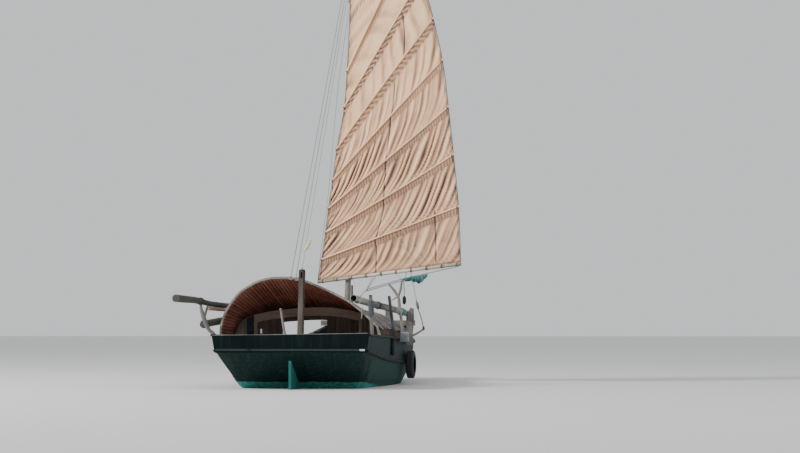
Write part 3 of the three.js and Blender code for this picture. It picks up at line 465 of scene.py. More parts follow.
# the strip has gone grey, except for one fresh white end
stripPaint = paintedTimber("dullWhitePaintOnStrip", "#363c3f", "#2b3032", "#1d2122", 0.6,
                           patches=[((1.25, -4.26, 0.671), (0.055, 0.4, 0.2), "#d5d7d8")])
bladePaint = paintedTimber("wornTealPaintOnRudder", "#286c6a", "#205553", "#6f7d74", 0.66, 210, "Y")
greyWood = timber("bareWeatheredGreyTimber", greyStops, "Z")
postWood = timber("bareWeatheredPostTimber", [(0.2, "#2c2723"), (0.5, "#544c46"), (0.8, "#7e766d")], "Z",
                  longMm=420, stains=0.4, toneShare=0.8)
greyWoodAcross = timber("bareWeatheredGreyBeam", greyStops, "X")
hoopWood = timber("splitPaleHoopTimber", paleStops, "X", True, grainMm=5)
brownWood = timber("sawnBrownTimber", brownStops, "X")
# painted shade: the side boards and the wing boards under the roof get darker stops that stand for the shade lying
# on them
shadeBoards = timber("smokedBrownBoards", [(0.25, "#33261f"), (0.5, "#5a4539"), (0.75, "#7b6557")], "Z",
                     plankMm=190, seamAcross="Y", seamMm=9)
wingBoards = timber("smokedWingBoards", [(0.25, "#453d36"), (0.5, "#756a60"), (0.75, "#968a7e")], "Z",
                    plankMm=110, seamMm=6)
darkWood = timber("darkStainedBoards", [(0.25, "#3a322e"), (0.5, "#665a54"), (0.75, "#85776f")], "Z",
                  plankMm=150, seamMm=8)
deckWood = timber("scrubbedDeckPlanks", [(0.25, "#55473a"), (0.5, "#85735f"), (0.75, "#ab9a84")], "Y",
                  plankMm=140, seamMm=7)
print("timber and paint are mixed")


# hull, topsides, gunwales and strakes

hullLook = {"stations": 170, "sideColumns": 22, "bottomColumns": 16, "wallRows": 13, "capCorners": 20}
# rows of t, the bottom's edge x and z, the turn's x and z, the deck edge's x and z
sectionTable = np.array([
    [0, 1.245, 0.610, 1.275, 0.645, 1.300, 0.680],
    [0.3, 1.170, 0.408, 1.262, 0.540, 1.312, 0.655],
    [0.6, 1.090, 0.206, 1.230, 0.420, 1.322, 0.628],
    [0.93, 0.985, -0.010, 1.180, 0.200, 1.330, 0.600],
    [1.3, 0.860, -0.215, 1.125, 0.080, 1.340, 0.568],
    [1.7, 0.730, -0.350, 1.120, 0.020, 1.350, 0.535],
    [2.6, 0.760, -0.365, 1.175, 0.000, 1.362, 0.480],
    [3.6, 0.790, -0.370, 1.210, 0.000, 1.370, 0.448],
    [4.5, 0.790, -0.370, 1.222, 0.060, 1.362, 0.440],
    [5.4, 0.720, -0.362, 1.150, 0.150, 1.290, 0.452],
    [6.2, 0.590, -0.310, 1.000, 0.170, 1.145, 0.500],
    [6.9, 0.470, -0.180, 0.870, 0.200, 1.025, 0.580],
    [7.5, 0.420, 0.040, 0.770, 0.320, 0.935, 0.680],
    [8.0, 0.415, 0.310, 0.690, 0.500, 0.850, 0.785],
    [8.4, 0.425, 0.600, 0.620, 0.700, 0.780, 0.880],
])
# rows of t, x and z of the rail
railTable = np.array([
    [0, 1.335, 0.930], [1.3, 1.360, 0.908], [2.5, 1.372, 0.876], [3.8, 1.380, 0.806], [4.6, 1.372, 0.790],
    [5.6, 1.290, 0.800], [6.5, 1.110, 0.865], [7.3, 0.985, 0.965], [8.0, 0.880, 1.075], [8.4, 0.810, 1.130],
])


def sectionAt(t):
    return curveThrough(t, sectionTable[:, 0], sectionTable[:, 1:])


def railAt(t):
    return curveThrough(t, railTable[:, 0], railTable[:, 1:])


def halfSection(t, count):
    # from deck edge down by the turn and the bilge to the bottom's edge, rounded by a cubic in between
    row = sectionAt(t)
    bottomX, bottomZ, turnX, turnZ, edgeX, edgeZ = row.T
    bilgeX = bottomX + (turnX - bottomX) * 0.58
    bilgeZ = bottomZ + (turnZ - bottomZ) * 0.42
    stack = np.stack([
        np.stack([edgeX, edgeZ], 1), np.stack([turnX, turnZ], 1), np.stack([bilgeX, bilgeZ], 1),
        np.stack([bottomX, bottomZ], 1),
    ], 1)
    share = np.linspace(0, 1, count)
    marks = np.array([0, 0.42, 0.72, 1.0])
    flat = stack.transpose(1, 0, 2).reshape(4, -1)
    return curveThrough(share, marks, flat).reshape(count, len(t), 2).transpose(1, 0, 2)


hullT = np.linspace(0, 8.4, hullLook["stations"])
starboardSide = halfSection(hullT, hullLook["sideColumns"])
portSide = starboardSide[:, ::-1] * np.array([-1, 1])
bottomShare = np.linspace(1, -1, hullLook["bottomColumns"] + 2)[1:-1]
bottomRun = np.stack([
    bottomShare[None] * starboardSide[:, -1:, 0], np.repeat(starboardSide[:, -1:, 1], len(bottomShare), 1)
], -1)
hullSections = np.concatenate([starboardSide, bottomRun, portSide], 1)
hullGrid = np.stack([
    hullSections[..., 0], np.repeat((hullT + transomY)[:, None], hullSections.shape[1], 1), hullSections[..., 1]
], -1)
hullPiece = gridPiece("hullPlanking", hullGrid, closeColumns=True, sharpDeg=30)
fit(hullPiece, hullPaint, "hull", "hull_paint", "hull_lower")

sideT = np.linspace(0.046, 8.3995, 120)
deckEdge = sectionAt(sideT)[:, 4:6]
railEdge = railAt(sideT)
wallSettings = {"thickness": 0.045, "gunwaleDepth": 0.035, "gunwaleWidth": 0.09, "plankLap": 0.004,
                "strakeOut": 0.04, "strakeDepth": 0.055, "gap": 0.0003}
for word, side in (("port", -1), ("starboard", 1)):
    share = np.linspace(0, 1, hullLook["wallRows"])
    lowZ = deckEdge[:, 1:2] + wallSettings["gap"]
    highZ = railEdge[:, 1:2] - wallSettings["gunwaleDepth"] - wallSettings["gap"]
    outerX = deckEdge[:, 0:1] + (railEdge[:, 0:1] - deckEdge[:, 0:1]) * share[None] ** 0.8
    # each of three planks leans out a little over the one above it
    lap = wallSettings["plankLap"] * (1 - (share[None] * 3) % 1)
    zs = lowZ + (highZ - lowZ) * share[None]
    ys = np.repeat((sideT + transomY)[:, None], len(share), 1)
    face = np.stack([side * (outerX + lap), ys, zs], -1)
    back = np.stack([side * (outerX - wallSettings["thickness"]), ys, zs], -1)[:, ::-1]
    wall = gridPiece("topside_" + word, np.concatenate([face, back], 1), closeColumns=True)
    fit(wall, railPaint, "hull", "rail_paint", "topside_" + word)

    inner = railEdge[:, 0] - wallSettings["thickness"] - 0.005
    width = wallSettings["gunwaleWidth"]
    halfDepth = wallSettings["gunwaleDepth"] / 2
    # the cap is a bar with rounded corners
    q = onceRound(hullLook["capCorners"])
    cornerX, cornerZ = roundedSquare(q, 0.35)
    wear = ripple(sideT[:, None] * 5, q[None] * 1.3, 11 + side) * 0.0012
    cap = np.stack([
        side * (inner[:, None] + width / 2 + cornerX[None] * width / 2 + wear),
        np.repeat((sideT + transomY)[:, None], len(q), 1),
        railEdge[:, 1:2] - halfDepth + cornerZ[None] * (halfDepth - 0.0002) + wear,
    ], -1)
    gunwale = gridPiece("gunwale_" + word, cap, closeColumns=True)
    fit(gunwale, gunwalePaint, "hull", "rail_paint", "gunwale_" + word)

    strakeT = np.linspace(0.06, 8.39, 110)
    edge = sectionAt(strakeT)
    top = edge[:, 5] - 0.004
    q = np.linspace(-0.5 * math.pi, 0.5 * math.pi, 12)
    # a half-round moulding: its flat back lies on the hull
    half = wallSettings["strakeDepth"] / 2
    out = np.append(np.cos(q) ** 0.5 * wallSettings["strakeOut"], -0.012)
    drop = np.append(np.sin(q) * half - half, -half)
    slopeX = (edge[:, 4] - edge[:, 2]) / (edge[:, 5] - edge[:, 3])
    strakeGrid = np.stack([
        side * (edge[:, 4:5] + slopeX[:, None] * drop[None] + out[None]),
        np.repeat((strakeT + transomY)[:, None], len(out), 1),
        top[:, None] + drop[None],
    ], -1)
    strake = gridPiece("strake_" + word, strakeGrid, closeColumns=True)
    fit(strake, strakePaint, "hull", "hull_paint", "strake_" + word)
# the bow board closes the rails' ends: an outline that widens upwards to a low peak, its faces' edges eased
bowLook = {"height": [0.72, 0.885, 1.05, 1.16], "halfWidth": [0.64, 0.795, 0.835, 0.858], "peak": 0.03}
flankZ = np.linspace(bowLook["height"][0], bowLook["height"][-1], 16)
flank = np.stack([np.interp(flankZ, bowLook["height"], bowLook["halfWidth"]), flankZ], 1)
peakX = np.linspace(flank[-1, 0], -flank[-1, 0], 17)[1:-1]
peakLine = np.stack([peakX, flank[-1, 1] + bowLook["peak"] * (1 - np.abs(peakX) / flank[-1, 0])], 1)
bowRing = np.concatenate([flank, peakLine, flank[::-1] * np.array([-1, 1])])
bowCentre = np.array([0, 0.95])
bowGrid = np.stack([
    np.insert(bowCentre + (bowRing - bowCentre) * ease, 1, y, axis=1)
    for y, ease in ((4.1503, 0.994), (4.1543, 1.0), (4.196, 1.0), (4.2, 0.994))
])
bowBoard = gridPiece("bowBoard", bowGrid, closeColumns=True)
fit(bowBoard, transomPaint, "hull", "hull_paint", "bow_board")
dressed = {"transom_board": transomPaint, "transom_strip": stripPaint, "deck_planking": deckWood,
           "bow_beam": greyWoodAcross, "mast_partner": greyWoodAcross, "bulkhead_frame": brownWood,
           "bulkhead_wing": wingBoards, "bulkhead_panel": darkWood, "bulkhead_door": darkWood,
           "side_board_port": shadeBoards, "side_board_starboard": shadeBoards, "rail_crutch": greyWood,
           "rudder_collar": greyWoodAcross, "rudder_blade": bladePaint}
for nodeName, material in dressed.items():
    dress(nodeName, material)
# the transom's upper aft edge is rubbed bare: a thin worn bead follows it
edgeX = np.linspace(-1.335, 1.322, 160)
edgeZ = np.interp(edgeX, [-1.342, 0, 1.329], [0.910, 0.926, 0.948])
edgeZ = edgeZ - 0.003 + 0.0025 * ripple(edgeX * 4, 0, 77)
edgePath = np.stack([edgeX, 0 * edgeX + float(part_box("transom_board")[0][1]) + 0.003, edgeZ], 1)
edgeBead = polePiece("wornTransomEdge", edgePath, 0.0065 + 0.0015 * ripple(edgeX * 9, 0, 78), 12)
edgeWood = timber("rubbedEdgeTimber", [(0.3, "#4c4f4f"), (0.6, "#77797a"), (0.8, "#a09f9b")], "X")
fit(edgeBead, edgeWood, "hull", "brown_wood")
print("hull is planked")


# the arched roof

# rows of x and z of the arches at the hood's aft end, at the bulkhead and at the low roof's forward end
archAft = np.array([
    [-1.476, 0.892], [-1.472, 1.0], [-1.437, 1.174], [-1.367, 1.347], [-1.297, 1.46], [-1.21, 1.573],
    [-1.122, 1.668], [-1.034, 1.729], [-0.947, 1.781], [-0.859, 1.833], [-0.737, 1.877], [-0.597, 1.911],
    [-0.422, 1.923], [-0.247, 1.92], [-0.072, 1.897], [0.033, 1.868], [0.279, 1.772], [0.629, 1.607],
    [0.804, 1.512], [0.98, 1.382], [1.137, 1.243], [1.312, 1.074],
])
archMid = np.array([
    [-1.6, 0.875], [-1.482, 1.142], [-1.345, 1.25], [-1.25, 1.286], [-1.173, 1.306], [-0.95, 1.351],
    [-0.7, 1.383], [-0.361, 1.412], [-0.1, 1.425], [0.19, 1.43], [0.45, 1.4], [0.757, 1.338], [0.95, 1.27],
    [1.12, 1.18], [1.25, 1.1], [1.335, 1.03],
])
archMain = archMid[1:]
archFore = archMain * np.array([0.985, 1]) - np.array([0, 0.022])
archT = (1.12, 2.70, 4.56)
roofLook = {"ceilingPlanks": 58, "ceilingMm": 9, "stripMm": 165, "coverMm": 18, "cupMm": 17, "stripColumns": 10,
            "slopeRows": 90, "thickness": 0.03}


def archLine(table, share):
    # point at a share of the line's own length, past the ends along the end's direction
    run = lengthsAlong(table)
    length = run[-1]
    inside = curveThrough(np.clip(share, 0, 1), run / length, table)
    first = (table[0] - table[1]) / np.linalg.norm(table[0] - table[1])
    last = (table[-1] - table[-2]) / np.linalg.norm(table[-1] - table[-2])
    below = np.maximum(-share, 0)[..., None] * length * first
    above = np.maximum(share - 1, 0)[..., None] * length * last
    return inside + below + above


def archPoint(t, share, lift):
    # the roof is ruled from arch to arch; lift moves a point out along the arch's normal
    t = np.asarray(t, float)
    forward = t.mean() > archT[1]
    ends = (archMain, archFore) if forward else (archAft, archMid)
    t0, t1 = archT[1:] if forward else archT[:2]
    part = ((t - t0) / (t1 - t0))[..., None]

    def at(s):
        a, b = (archLine(table, s) for table in ends)
        return a + (b - a) * part

    point = at(share)
    slope = at(share + 0.004) - at(share - 0.004)
    slope /= np.linalg.norm(slope, axis=-1)[..., None]
    normal = np.stack([-slope[..., 1], slope[..., 0]], -1)
    flat = point + normal * np.asarray(lift)[..., None]
    return np.stack([flat[..., 0], t + transomY, flat[..., 1]], -1)


def ceiling(name, t0, t1, seed):
    # narrow planks run fore and aft; each has a rounded edge groove, its own level and its own tone
    count = roofLook["ceilingPlanks"]
    part = np.array([0, 0.11, 0.17, 0.5, 0.83, 0.89])
    share = np.append(((np.arange(count)[:, None] + part[None]) / count).ravel(), 1.0)
    groove = np.append(np.tile([0.007, 0.004, 0, 0, 0, 0.004], count), 0.007)
    pick = np.random.default_rng(seed)
    level = np.append(np.repeat(pick.uniform(0, 0.003, count), len(part)), 0)
    dark = np.tile([-0.3, -0.2, 0.5, 0.56, 0.5, -0.2], count)
    tone = np.append(dark + np.repeat(pick.uniform(-0.1, 0.1, count), len(part)), -0.3)
    tt, ss = np.meshgrid(np.linspace(t0, t1, 24), share, indexing="ij")
    # painted shade: the planks darken towards the bulkhead, where the ceiling lies in shade
    bulkheadShade = 0.34 * np.clip((tt - t0) / (t1 - t0) * 3 - 1.75, 0, 1)
    lift = -roofLook["thickness"] + (groove + level)[None] + 0 * tt
    return gridPiece(name, archPoint(tt, ss, lift), tone=tone[None] - bulkheadShade, sharpDeg=30)


def covering(name, t0, t1, seed, raggedPort, raggedStarboard):
    # split strips lie side by side down the slope; each has its own level, twist and ragged ends
    pick = np.random.default_rng(seed)
    count = max(2, round((t1 - t0) * 1000 / roofLook["stripMm"]))
    part = np.linspace(0, 1, roofLook["stripColumns"], endpoint=False)
    ts = np.append(((np.arange(count)[:, None] + part[None]) / count).ravel(), 1.0) * (t1 - t0) + t0
    # a split strip is cupped: its edges dip below its crown by a cosine
    crown = np.sin(part * math.pi) ** 0.6
    dip = np.append(np.tile(roofLook["cupMm"] / 1000 * (1 - crown), count), roofLook["cupMm"] / 1000)
    level, shade, endPort, endStarboard = (
        np.append(np.repeat(pick.uniform(low, high, count), len(part)), 0)
        for low, high in ((0, 0.005), (-0.15, 0.15), (0, raggedPort), (0, raggedStarboard))
    )
    # painted light: each strip's crown is lighter and its cupped edges darker, as light falls on the curve
    tone = shade + np.append(np.tile(0.75 * crown - 0.05, count), 0)
    tt, uu = np.meshgrid(ts, np.linspace(0, 1, roofLook["slopeRows"]), indexing="ij")
    ss = uu - endPort[:, None] * (1 - uu) ** 6 + endStarboard[:, None] * uu**6
    lift = level[:, None] - dip[:, None] + ripple(tt * 9, ss * 40, seed) * 0.0025
    grid = archPoint(tt, ss, lift)
    piece = gridPiece(name, grid, tone=np.repeat(tone[:, None], uu.shape[1], 1), sharpDeg=30)
    thicken(piece, roofLook["coverMm"] / 1000, 0)
    return piece


ceilingStops = [(0.05, "#1c120f"), (0.3, "#684238"), (0.55, "#aa6c5c"), (0.8, "#bf8778")]
ceilingWood = timber("redBrownStainedCeilingPlanks", ceilingStops, "Y", grainMm=6, longMm=300, roughness=0.6,
                     bumpMm=0.8, stains=0.5, toneShare=0.95)
stripStops = [(0.1, "#1a1918"), (0.4, "#484646"), (0.65, "#767473"), (0.95, "#aaa7a5")]
stripWood = timber("silverGreySplitStrips", stripStops, "X", grainMm=9, longMm=260, roughness=0.85, bumpMm=2.5,
                   toneShare=0.8)
for under in (ceiling("hoodCeiling", 1.166, 2.70, 3), ceiling("mainCeiling", 2.70, 4.515, 4)):
    fit(under, ceilingWood, "hull", "roof_hood", "roof_" + under.name[:4])
    thicken(under, roofLook["ceilingMm"] / 1000)
fit(covering("hoodCovering", 1.166, 2.71, 5, 0.004, 0.026), stripWood, "hull", "roof_main", "roof_hood")
fit(covering("mainCovering", 2.71, 4.515, 6, 0.004, 0.03), stripWood, "hull", "roof_main", "roof_main")


def hoopPiece(name, t0, t1, depth, first, footPort, footStarboard):
    # a flat bar follows the arch from the share called first, with its feet drawn down to the gunwales
    share = np.linspace(first, 1, 110)
    edges = []
    for t, lift in ((t0, 0), (t1, 0), (t1, -depth), (t0, -depth)):
        line = archPoint(np.full(len(share), t), share, np.full(len(share), float(lift)))
        out = 0 if lift else 0.046
        edges.append(np.concatenate([[[footPort[0] - out, t + transomY, footPort[1]]], line,
                                     [[footStarboard[0] + out, t + transomY, footStarboard[1]]]]))
    return gridPiece(name, np.stack(edges, 1), closeColumns=True, sharpDeg=40,
                     across=np.array([0, 0.045, 0.079, 0.124, 0.158]))


for cadName, hoop in (
    ("hoop_aft", hoopPiece("aftHoop", 1.12, 1.165, 0.034, 0.013, (-1.3985, 0.872), (1.319, 0.912))),
    ("hoop_forward", hoopPiece("foreHoop", 4.515, 4.56, 0.034, 0, (-1.419, 0.762), (1.316, 0.793))),
):
    fit(hoop, hoopWood, "hull", "pale_wood", cadName)
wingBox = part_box("bulkhead_wing")


def endBoards(name, x0, x1, bottom):
    # upright boards close the end of the hood between two widths: their tops follow the ceiling above
    line = archPoint(np.full(300, 2.67), np.linspace(0, 1, 300), np.full(300, -0.04))
    up, x = np.meshgrid(np.linspace(0, 1, 12), np.linspace(x0, x1, 40), indexing="ij")
    top = np.interp(x, line[:, 0], line[:, 2])
    y = 0 * x + (wingBox[0][1] + wingBox[1][1]) / 2
    grid = np.stack([x, y, np.minimum(bottom, top) * (1 - up) + top * up], -1)
    piece = fit(gridPiece(name, grid), wingBoards, "hull", "brown_wood")
    thicken(piece, 0.022, 0)


endBoards("portEndBoards", -1.585, -1.437, 0.872)
endBoards("starboardEndBoards", 0.786, 1.29, 0.62)
print("roof is laid")


# curtain beside the port post

curtainLook = {"folds": 5, "foldMm": 9}
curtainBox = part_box("curtain")
across, down = np.meshgrid(np.linspace(0, 1, 60), np.linspace(0, 1, 60), indexing="xy")
curtainTop = 1.222 + (across - 0.5) * 0.07
curtainX = curtainBox[0][0] + 0.003 + across * (curtainBox[1][0] - curtainBox[0][0] - 0.006)
curtainZ = curtainTop + (curtainBox[0][2] - curtainTop) * down
deep = curtainLook["foldMm"] / 1000 * (0.4 + 0.6 * down)
curtainY = (curtainBox[0][1] + curtainBox[1][1]) / 2 + deep * 0.8 * np.sin(
    across * curtainLook["folds"] * 2 * math.pi + ripple(across * 4, down * 2, 8)
)
curtainPiece = gridPiece("curtainCloth", np.stack([curtainX, curtainY, curtainZ], -1))
curtainCotton = mottled("darkBlueCottonCurtain", 0.95, {"Scale": 14, "Detail": 5},
                        [(0.3, "#23283a"), (0.7, "#464d62")], "UV")
fit(curtainPiece, curtainCotton, "hull", "curtain_cloth", "curtain")
thicken(curtainPiece, 0.002, 0)
print("curtain hangs")


# spars, props, posts and branches

bambooMaterial = timber("weatheredBamboo", [(0.2, "#515650"), (0.5, "#858b84"), (0.8, "#b3b8b0")], "Y", True,
                        grainMm=5, longMm=200, roughness=0.45, bumpMm=0.6, toneShare=0.9, stains=0.3)
# partly painted highlight: the battens have the canvas's colour, made as light as its lit ridges
tanBamboo = timber("canvasCoveredBambooBatten", [(0.2, "#e2bc96"), (0.5, "#fdd8b2"), (0.8, "#ffe6ca")], "Y", True,
                   grainMm=4, longMm=150, roughness=0.8, bumpMm=0.5, toneShare=0.3, stains=0.12)
whiteBamboo = timber("bleachedBambooPole", [(0.2, "#857b6c"), (0.5, "#bfb6a6"), (0.8, "#e9e2d4")], "Y", True,
                     grainMm=4, longMm=150, roughness=0.5, bumpMm=0.5, toneShare=0.8, stains=0.3)
darkLog = timber("darkWeatheredLog", [(0.2, "#2b2d29"), (0.5, "#4d4f49"), (0.8, "#77746a")], "Y", True,
                 grainMm=7, longMm=240, roughness=0.85, bumpMm=3, stains=0.5)
branchBrown = timber("barkedBrownPole", brownStops, "Y", True, grainMm=6, longMm=120, bumpMm=2)
branchWood = timber("barkedGreyBranch", greyStops, "Y", True, grainMm=6, longMm=120, bumpMm=2)
paleBranch = timber("peeledPaleBranch", paleStops, "Y", True, grainMm=6, longMm=120, bumpMm=1.2)


def bambooRadii(path, radius, spacing, taper, sides, seed, swell=0.06):
    # radius along the pole: taper, a raised ring at every node and a slight hollow between nodes
    run = lengthsAlong(path)
    share = run / run[-1]
    spot = (run / spacing + 0.35) % 1
    ring = np.exp(-(((spot - 0.5) * spacing / 0.012) ** 2))
    base = radius * (1 - taper * share) * (1 - 0.02 * np.cos((spot - 0.5) * 2 * math.pi) + swell * ring)
    q = onceRound(sides)
    radii = base[:, None] * (1 + 0.012 * ripple(run[:, None] * 3, q[None] * 2, seed))
    # each node has a dark line, and the cane's shade drifts along it
    line = np.exp(-(((spot - 0.47) * spacing / 0.02) ** 2))
    tone = 0.5 + 0.25 * np.sin(run * 2.1 + seed) - 0.45 * line
    return radii, np.repeat(tone[:, None], sides, 1)


def bambooPole(name, points, radius, spacing, taper, sides, seed, count, bend, swell):
    # a jointed cane through the given points, that wavers by about bend between its ends
    path = pathThrough(points, count)
    share = np.linspace(0, 1, len(path))
    waver = np.stack([ripple(share * 5, k + 0 * share, seed + k) for k in range(3)], 1)
    path = path + bend * waver * np.sin(share * math.pi)[:, None]
    radii, tone = bambooRadii(path, radius, spacing, taper, sides, seed, swell)
    return polePiece(name, path, radii, sides, tone=tone)


def boatPoints(rows):
    # table rows that begin with x, t, z become boat points
    rows = np.array(rows, float)
    rows[:, 1] += transomY
    return rows


def roughPole(name, rows, sides=16, seed=1, rough=0.05, count=70):
    # a natural branch through rows of x, t, z and radius, knobbed by ripples along and round it
    stations = boatPoints(rows)
    run = lengthsAlong(stations[:, :3])
    path = pathThrough(stations[:, :3], count)
    along = lengthsAlong(path)[:, None]
    base = np.interp(along, run * along[-1] / run[-1], stations[:, 3])
    q = onceRound(sides)[None]
    knobs = rough * ripple(along * 9, q, seed) + rough * 0.4 * ripple(along * 40, q * 3, seed + 5)
    return polePiece(name, path, base * (1 + knobs), sides)


def hollowPole(name, points, radius, spacing, boreRadius, boreDepth, seed):
    # rings run up the bore, over the rim and along the outside, so the near end is open
    path = pathThrough(points, 110)
    radii, tone = bambooRadii(path, radius, spacing, 0.04, 22, seed)
    outer = ringsAlong(path, radii, 22)
    way = (path[1] - path[0]) / np.linalg.norm(path[1] - path[0])
    centre = path[0]
    mouth = outer[0] - centre
    bore = [centre + mouth * boreRadius / radius + way * deep for deep in (boreDepth, boreDepth * 0.5, 0.004)]
    seat = centre + way * boreDepth + mouth * 0.02
    grid = np.concatenate([np.stack([seat, *bore, centre + mouth * 0.93]), outer])
    # painted shade: the bore's rings have tone 0, dark inside the open end
    tones = np.concatenate([np.zeros((5, 22)), tone])
    return gridPiece(name, grid, closeColumns=True, tone=tones, sharpDeg=40)


sparLook = {"logRadius": 0.06, "nodeSpacing": 0.62, "boreRadius": 0.05, "boreDepth": 0.24}
starboardLog = hollowPole(
    "starboardLog", boatPoints([[0.862, 1.29, 1.547], [1.03, 2.2, 1.463], [1.2, 2.95, 1.4], [1.4, 3.85, 1.312]]),
    sparLook["logRadius"], sparLook["nodeSpacing"], sparLook["boreRadius"], sparLook["boreDepth"], 21,
)
fit(starboardLog, bambooMaterial, "hull", "bamboo", "log_starboard")
# each pole: rows of x, t, z, radius, then its sides, seed, roughness and count of rings
poleTable = {
    "portLog": ([[-1.68, -1.1, 1.518, 0.063], [-1.655, 0.3, 1.497, 0.055], [-1.65, 1.0, 1.462, 0.046],
                 [-1.64, 3.25, 1.43, 0.043]], 22, 31, 0.035, 120),
    "portLogUnder": ([[-1.646, 0.98, 1.376, 0.034], [-1.64, 3.25, 1.35, 0.034]], 16, 30, 0.05, 90),
    "portLogLow": ([[-1.602, 0.49, 1.096, 0.064], [-1.612, 1.7, 1.155, 0.063], [-1.625, 2.96, 1.215, 0.06]],
                   20, 32, 0.04, 90),
    "propAft": ([[-1.4165, 0.47, 0.86, 0.033], [-1.417, 0.47, 0.925, 0.033], [-1.5, 0.47, 1.0, 0.031],
                 [-1.556, 0.47, 1.11, 0.039], [-1.602, 0.47, 1.24, 0.04], [-1.64, 0.47, 1.37, 0.027],
                 [-1.648, 0.47, 1.435, 0.022]], 14, 33, 0.08),
    "propArm": ([[-1.59, 0.47, 1.215, 0.025], [-1.548, 0.47, 1.33, 0.023], [-1.524, 0.47, 1.418, 0.015]],
                12, 29, 0.08, 30),
    "propFore": ([[-1.443, 2.8, 0.792, 0.029], [-1.445, 2.8, 0.884, 0.03], [-1.5, 2.8, 0.96, 0.031],
                  [-1.545, 2.8, 1.11, 0.033], [-1.6, 2.8, 1.29, 0.03], [-1.625, 2.8, 1.35, 0.026]], 14, 34, 0.08),
    "forkedBranch": ([[1.445, 3.15, 0.785, 0.028], [1.445, 3.15, 0.86, 0.029], [1.434, 3.15, 1.07, 0.028],
                      [1.392, 3.15, 1.376, 0.027], [1.358, 3.15, 1.618, 0.027], [1.342, 3.15, 1.648, 0.015]],
                     14, 35, 0.07),
    "forkLeft": ([[1.366, 3.15, 1.585, 0.021], [1.3, 3.15, 1.7, 0.024], [1.185, 3.15, 1.837, 0.019]],
                 12, 36, 0.08, 40),
    "forkRight": ([[1.352, 3.15, 1.57, 0.02], [1.408, 3.15, 1.74, 0.023], [1.443, 3.15, 1.909, 0.018],
                   [1.498, 3.15, 1.945, 0.01]], 12, 37, 0.08, 50),
    "forkTwig": ([[1.36, 3.15, 1.604, 0.012], [1.3, 3.15, 1.57, 0.011], [1.239, 3.15, 1.527, 0.007]],
                 10, 42, 0.08, 30),
    "outboardStrut": ([[1.394, 4.01, 0.804, 0.023], [1.397, 4.01, 0.845, 0.024], [1.55, 4.01, 0.92, 0.023],
                       [1.72, 4.01, 1.02, 0.021]], 14, 38, 0.05),
    "stickWithKnob": ([[-0.214, 0.9, 0.63, 0.023], [-0.214, 0.9, 0.69, 0.023], [-0.271, 0.9, 0.948, 0.022],
                       [-0.338, 0.9, 1.335, 0.019]], 14, 39, 0.04),
    "sidePole": ([[0.121, 5.385, 0.478, 0.028], [0.121, 5.385, 1.2, 0.028], [0.121, 5.385, 1.86, 0.026]],
                 16, 40, 0.03),
}
poles = {name: roughPole(name, *row) for name, row in poleTable.items()}
poles["knob"] = polePiece("knob", pathThrough(boatPoints([[-0.337, 0.9, 1.328], [-0.345, 0.9, 1.372]]), 12),
                          0.026 * np.sin(np.linspace(0.12, math.pi - 0.12, 12)) ** 0.5, 16)
for name, added in (("propAft", ["propArm"]), ("forkedBranch", ["forkLeft", "forkRight", "forkTwig"]),
                    ("stickWithKnob", ["knob"])):
    joined(name, [poles[name]] + [poles[part] for part in added])
for name, material, slot, cadName in (
    ("portLog", darkLog, "dark_log", "log_port"),
    ("portLogUnder", branchBrown, "brown_wood", "log_port_under"),
    ("portLogLow", darkLog, "dark_log", "log_port_low"),
    ("propAft", branchWood, "grey_wood", "prop_port_aft"),
    ("propFore", branchWood, "grey_wood", "prop_port_forward"),
    ("forkedBranch", paleBranch, "pale_wood", "forked_branch"),
    ("outboardStrut", paleBranch, "grey_wood", "outboard_strut"),
    ("stickWithKnob", paleBranch, "pale_wood", "stick"),
    ("sidePole", branchWood, "grey_wood", "side_pole"),
):
    fit(poles[name], material, "hull", slot, cadName)
# small pegs and a rail: each row has two ends in x, t, z, radius
pegs = {
    "hoodPeg": ([1.047, 1.1, 1.385, 0.015], [1.038, 1.1, 1.195, 0.011]),
    "sternPeg": ([-0.69, 1.0, 0.6, 0.022], [-0.699, 1.0, 1.02, 0.013]),
    "doorRail": ([0.267, 2.655, 1.14, 0.008], [0.486, 2.655, 1.148, 0.008]),
}
for seed, (name, (low, high)) in enumerate(pegs.items(), 70):
    fit(roughPole(name, np.linspace(low, high, 5), 12, seed, 0.06, 30), paleBranch, "hull", "pale_wood")
railPostGrey, railPostDark = (timber(name, stops, "Z", longMm=420, stains=0.4, toneShare=0.7) for name, stops in (
    ("bareGreyRailPost", [(0.2, "#45433f"), (0.5, "#7b7975"), (0.8, "#adaaa5")]),
    ("darkWeatheredPost", [(0.2, "#292b2e"), (0.5, "#4d5054"), (0.8, "#76787b")]),
))
postLook = {"slotX": 0.021, "slotZ": 1.94, "slotWide": 0.032, "slotHigh": 0.09, "deepMm": 40, "wearMm": 1.4,
            "corners": 96}


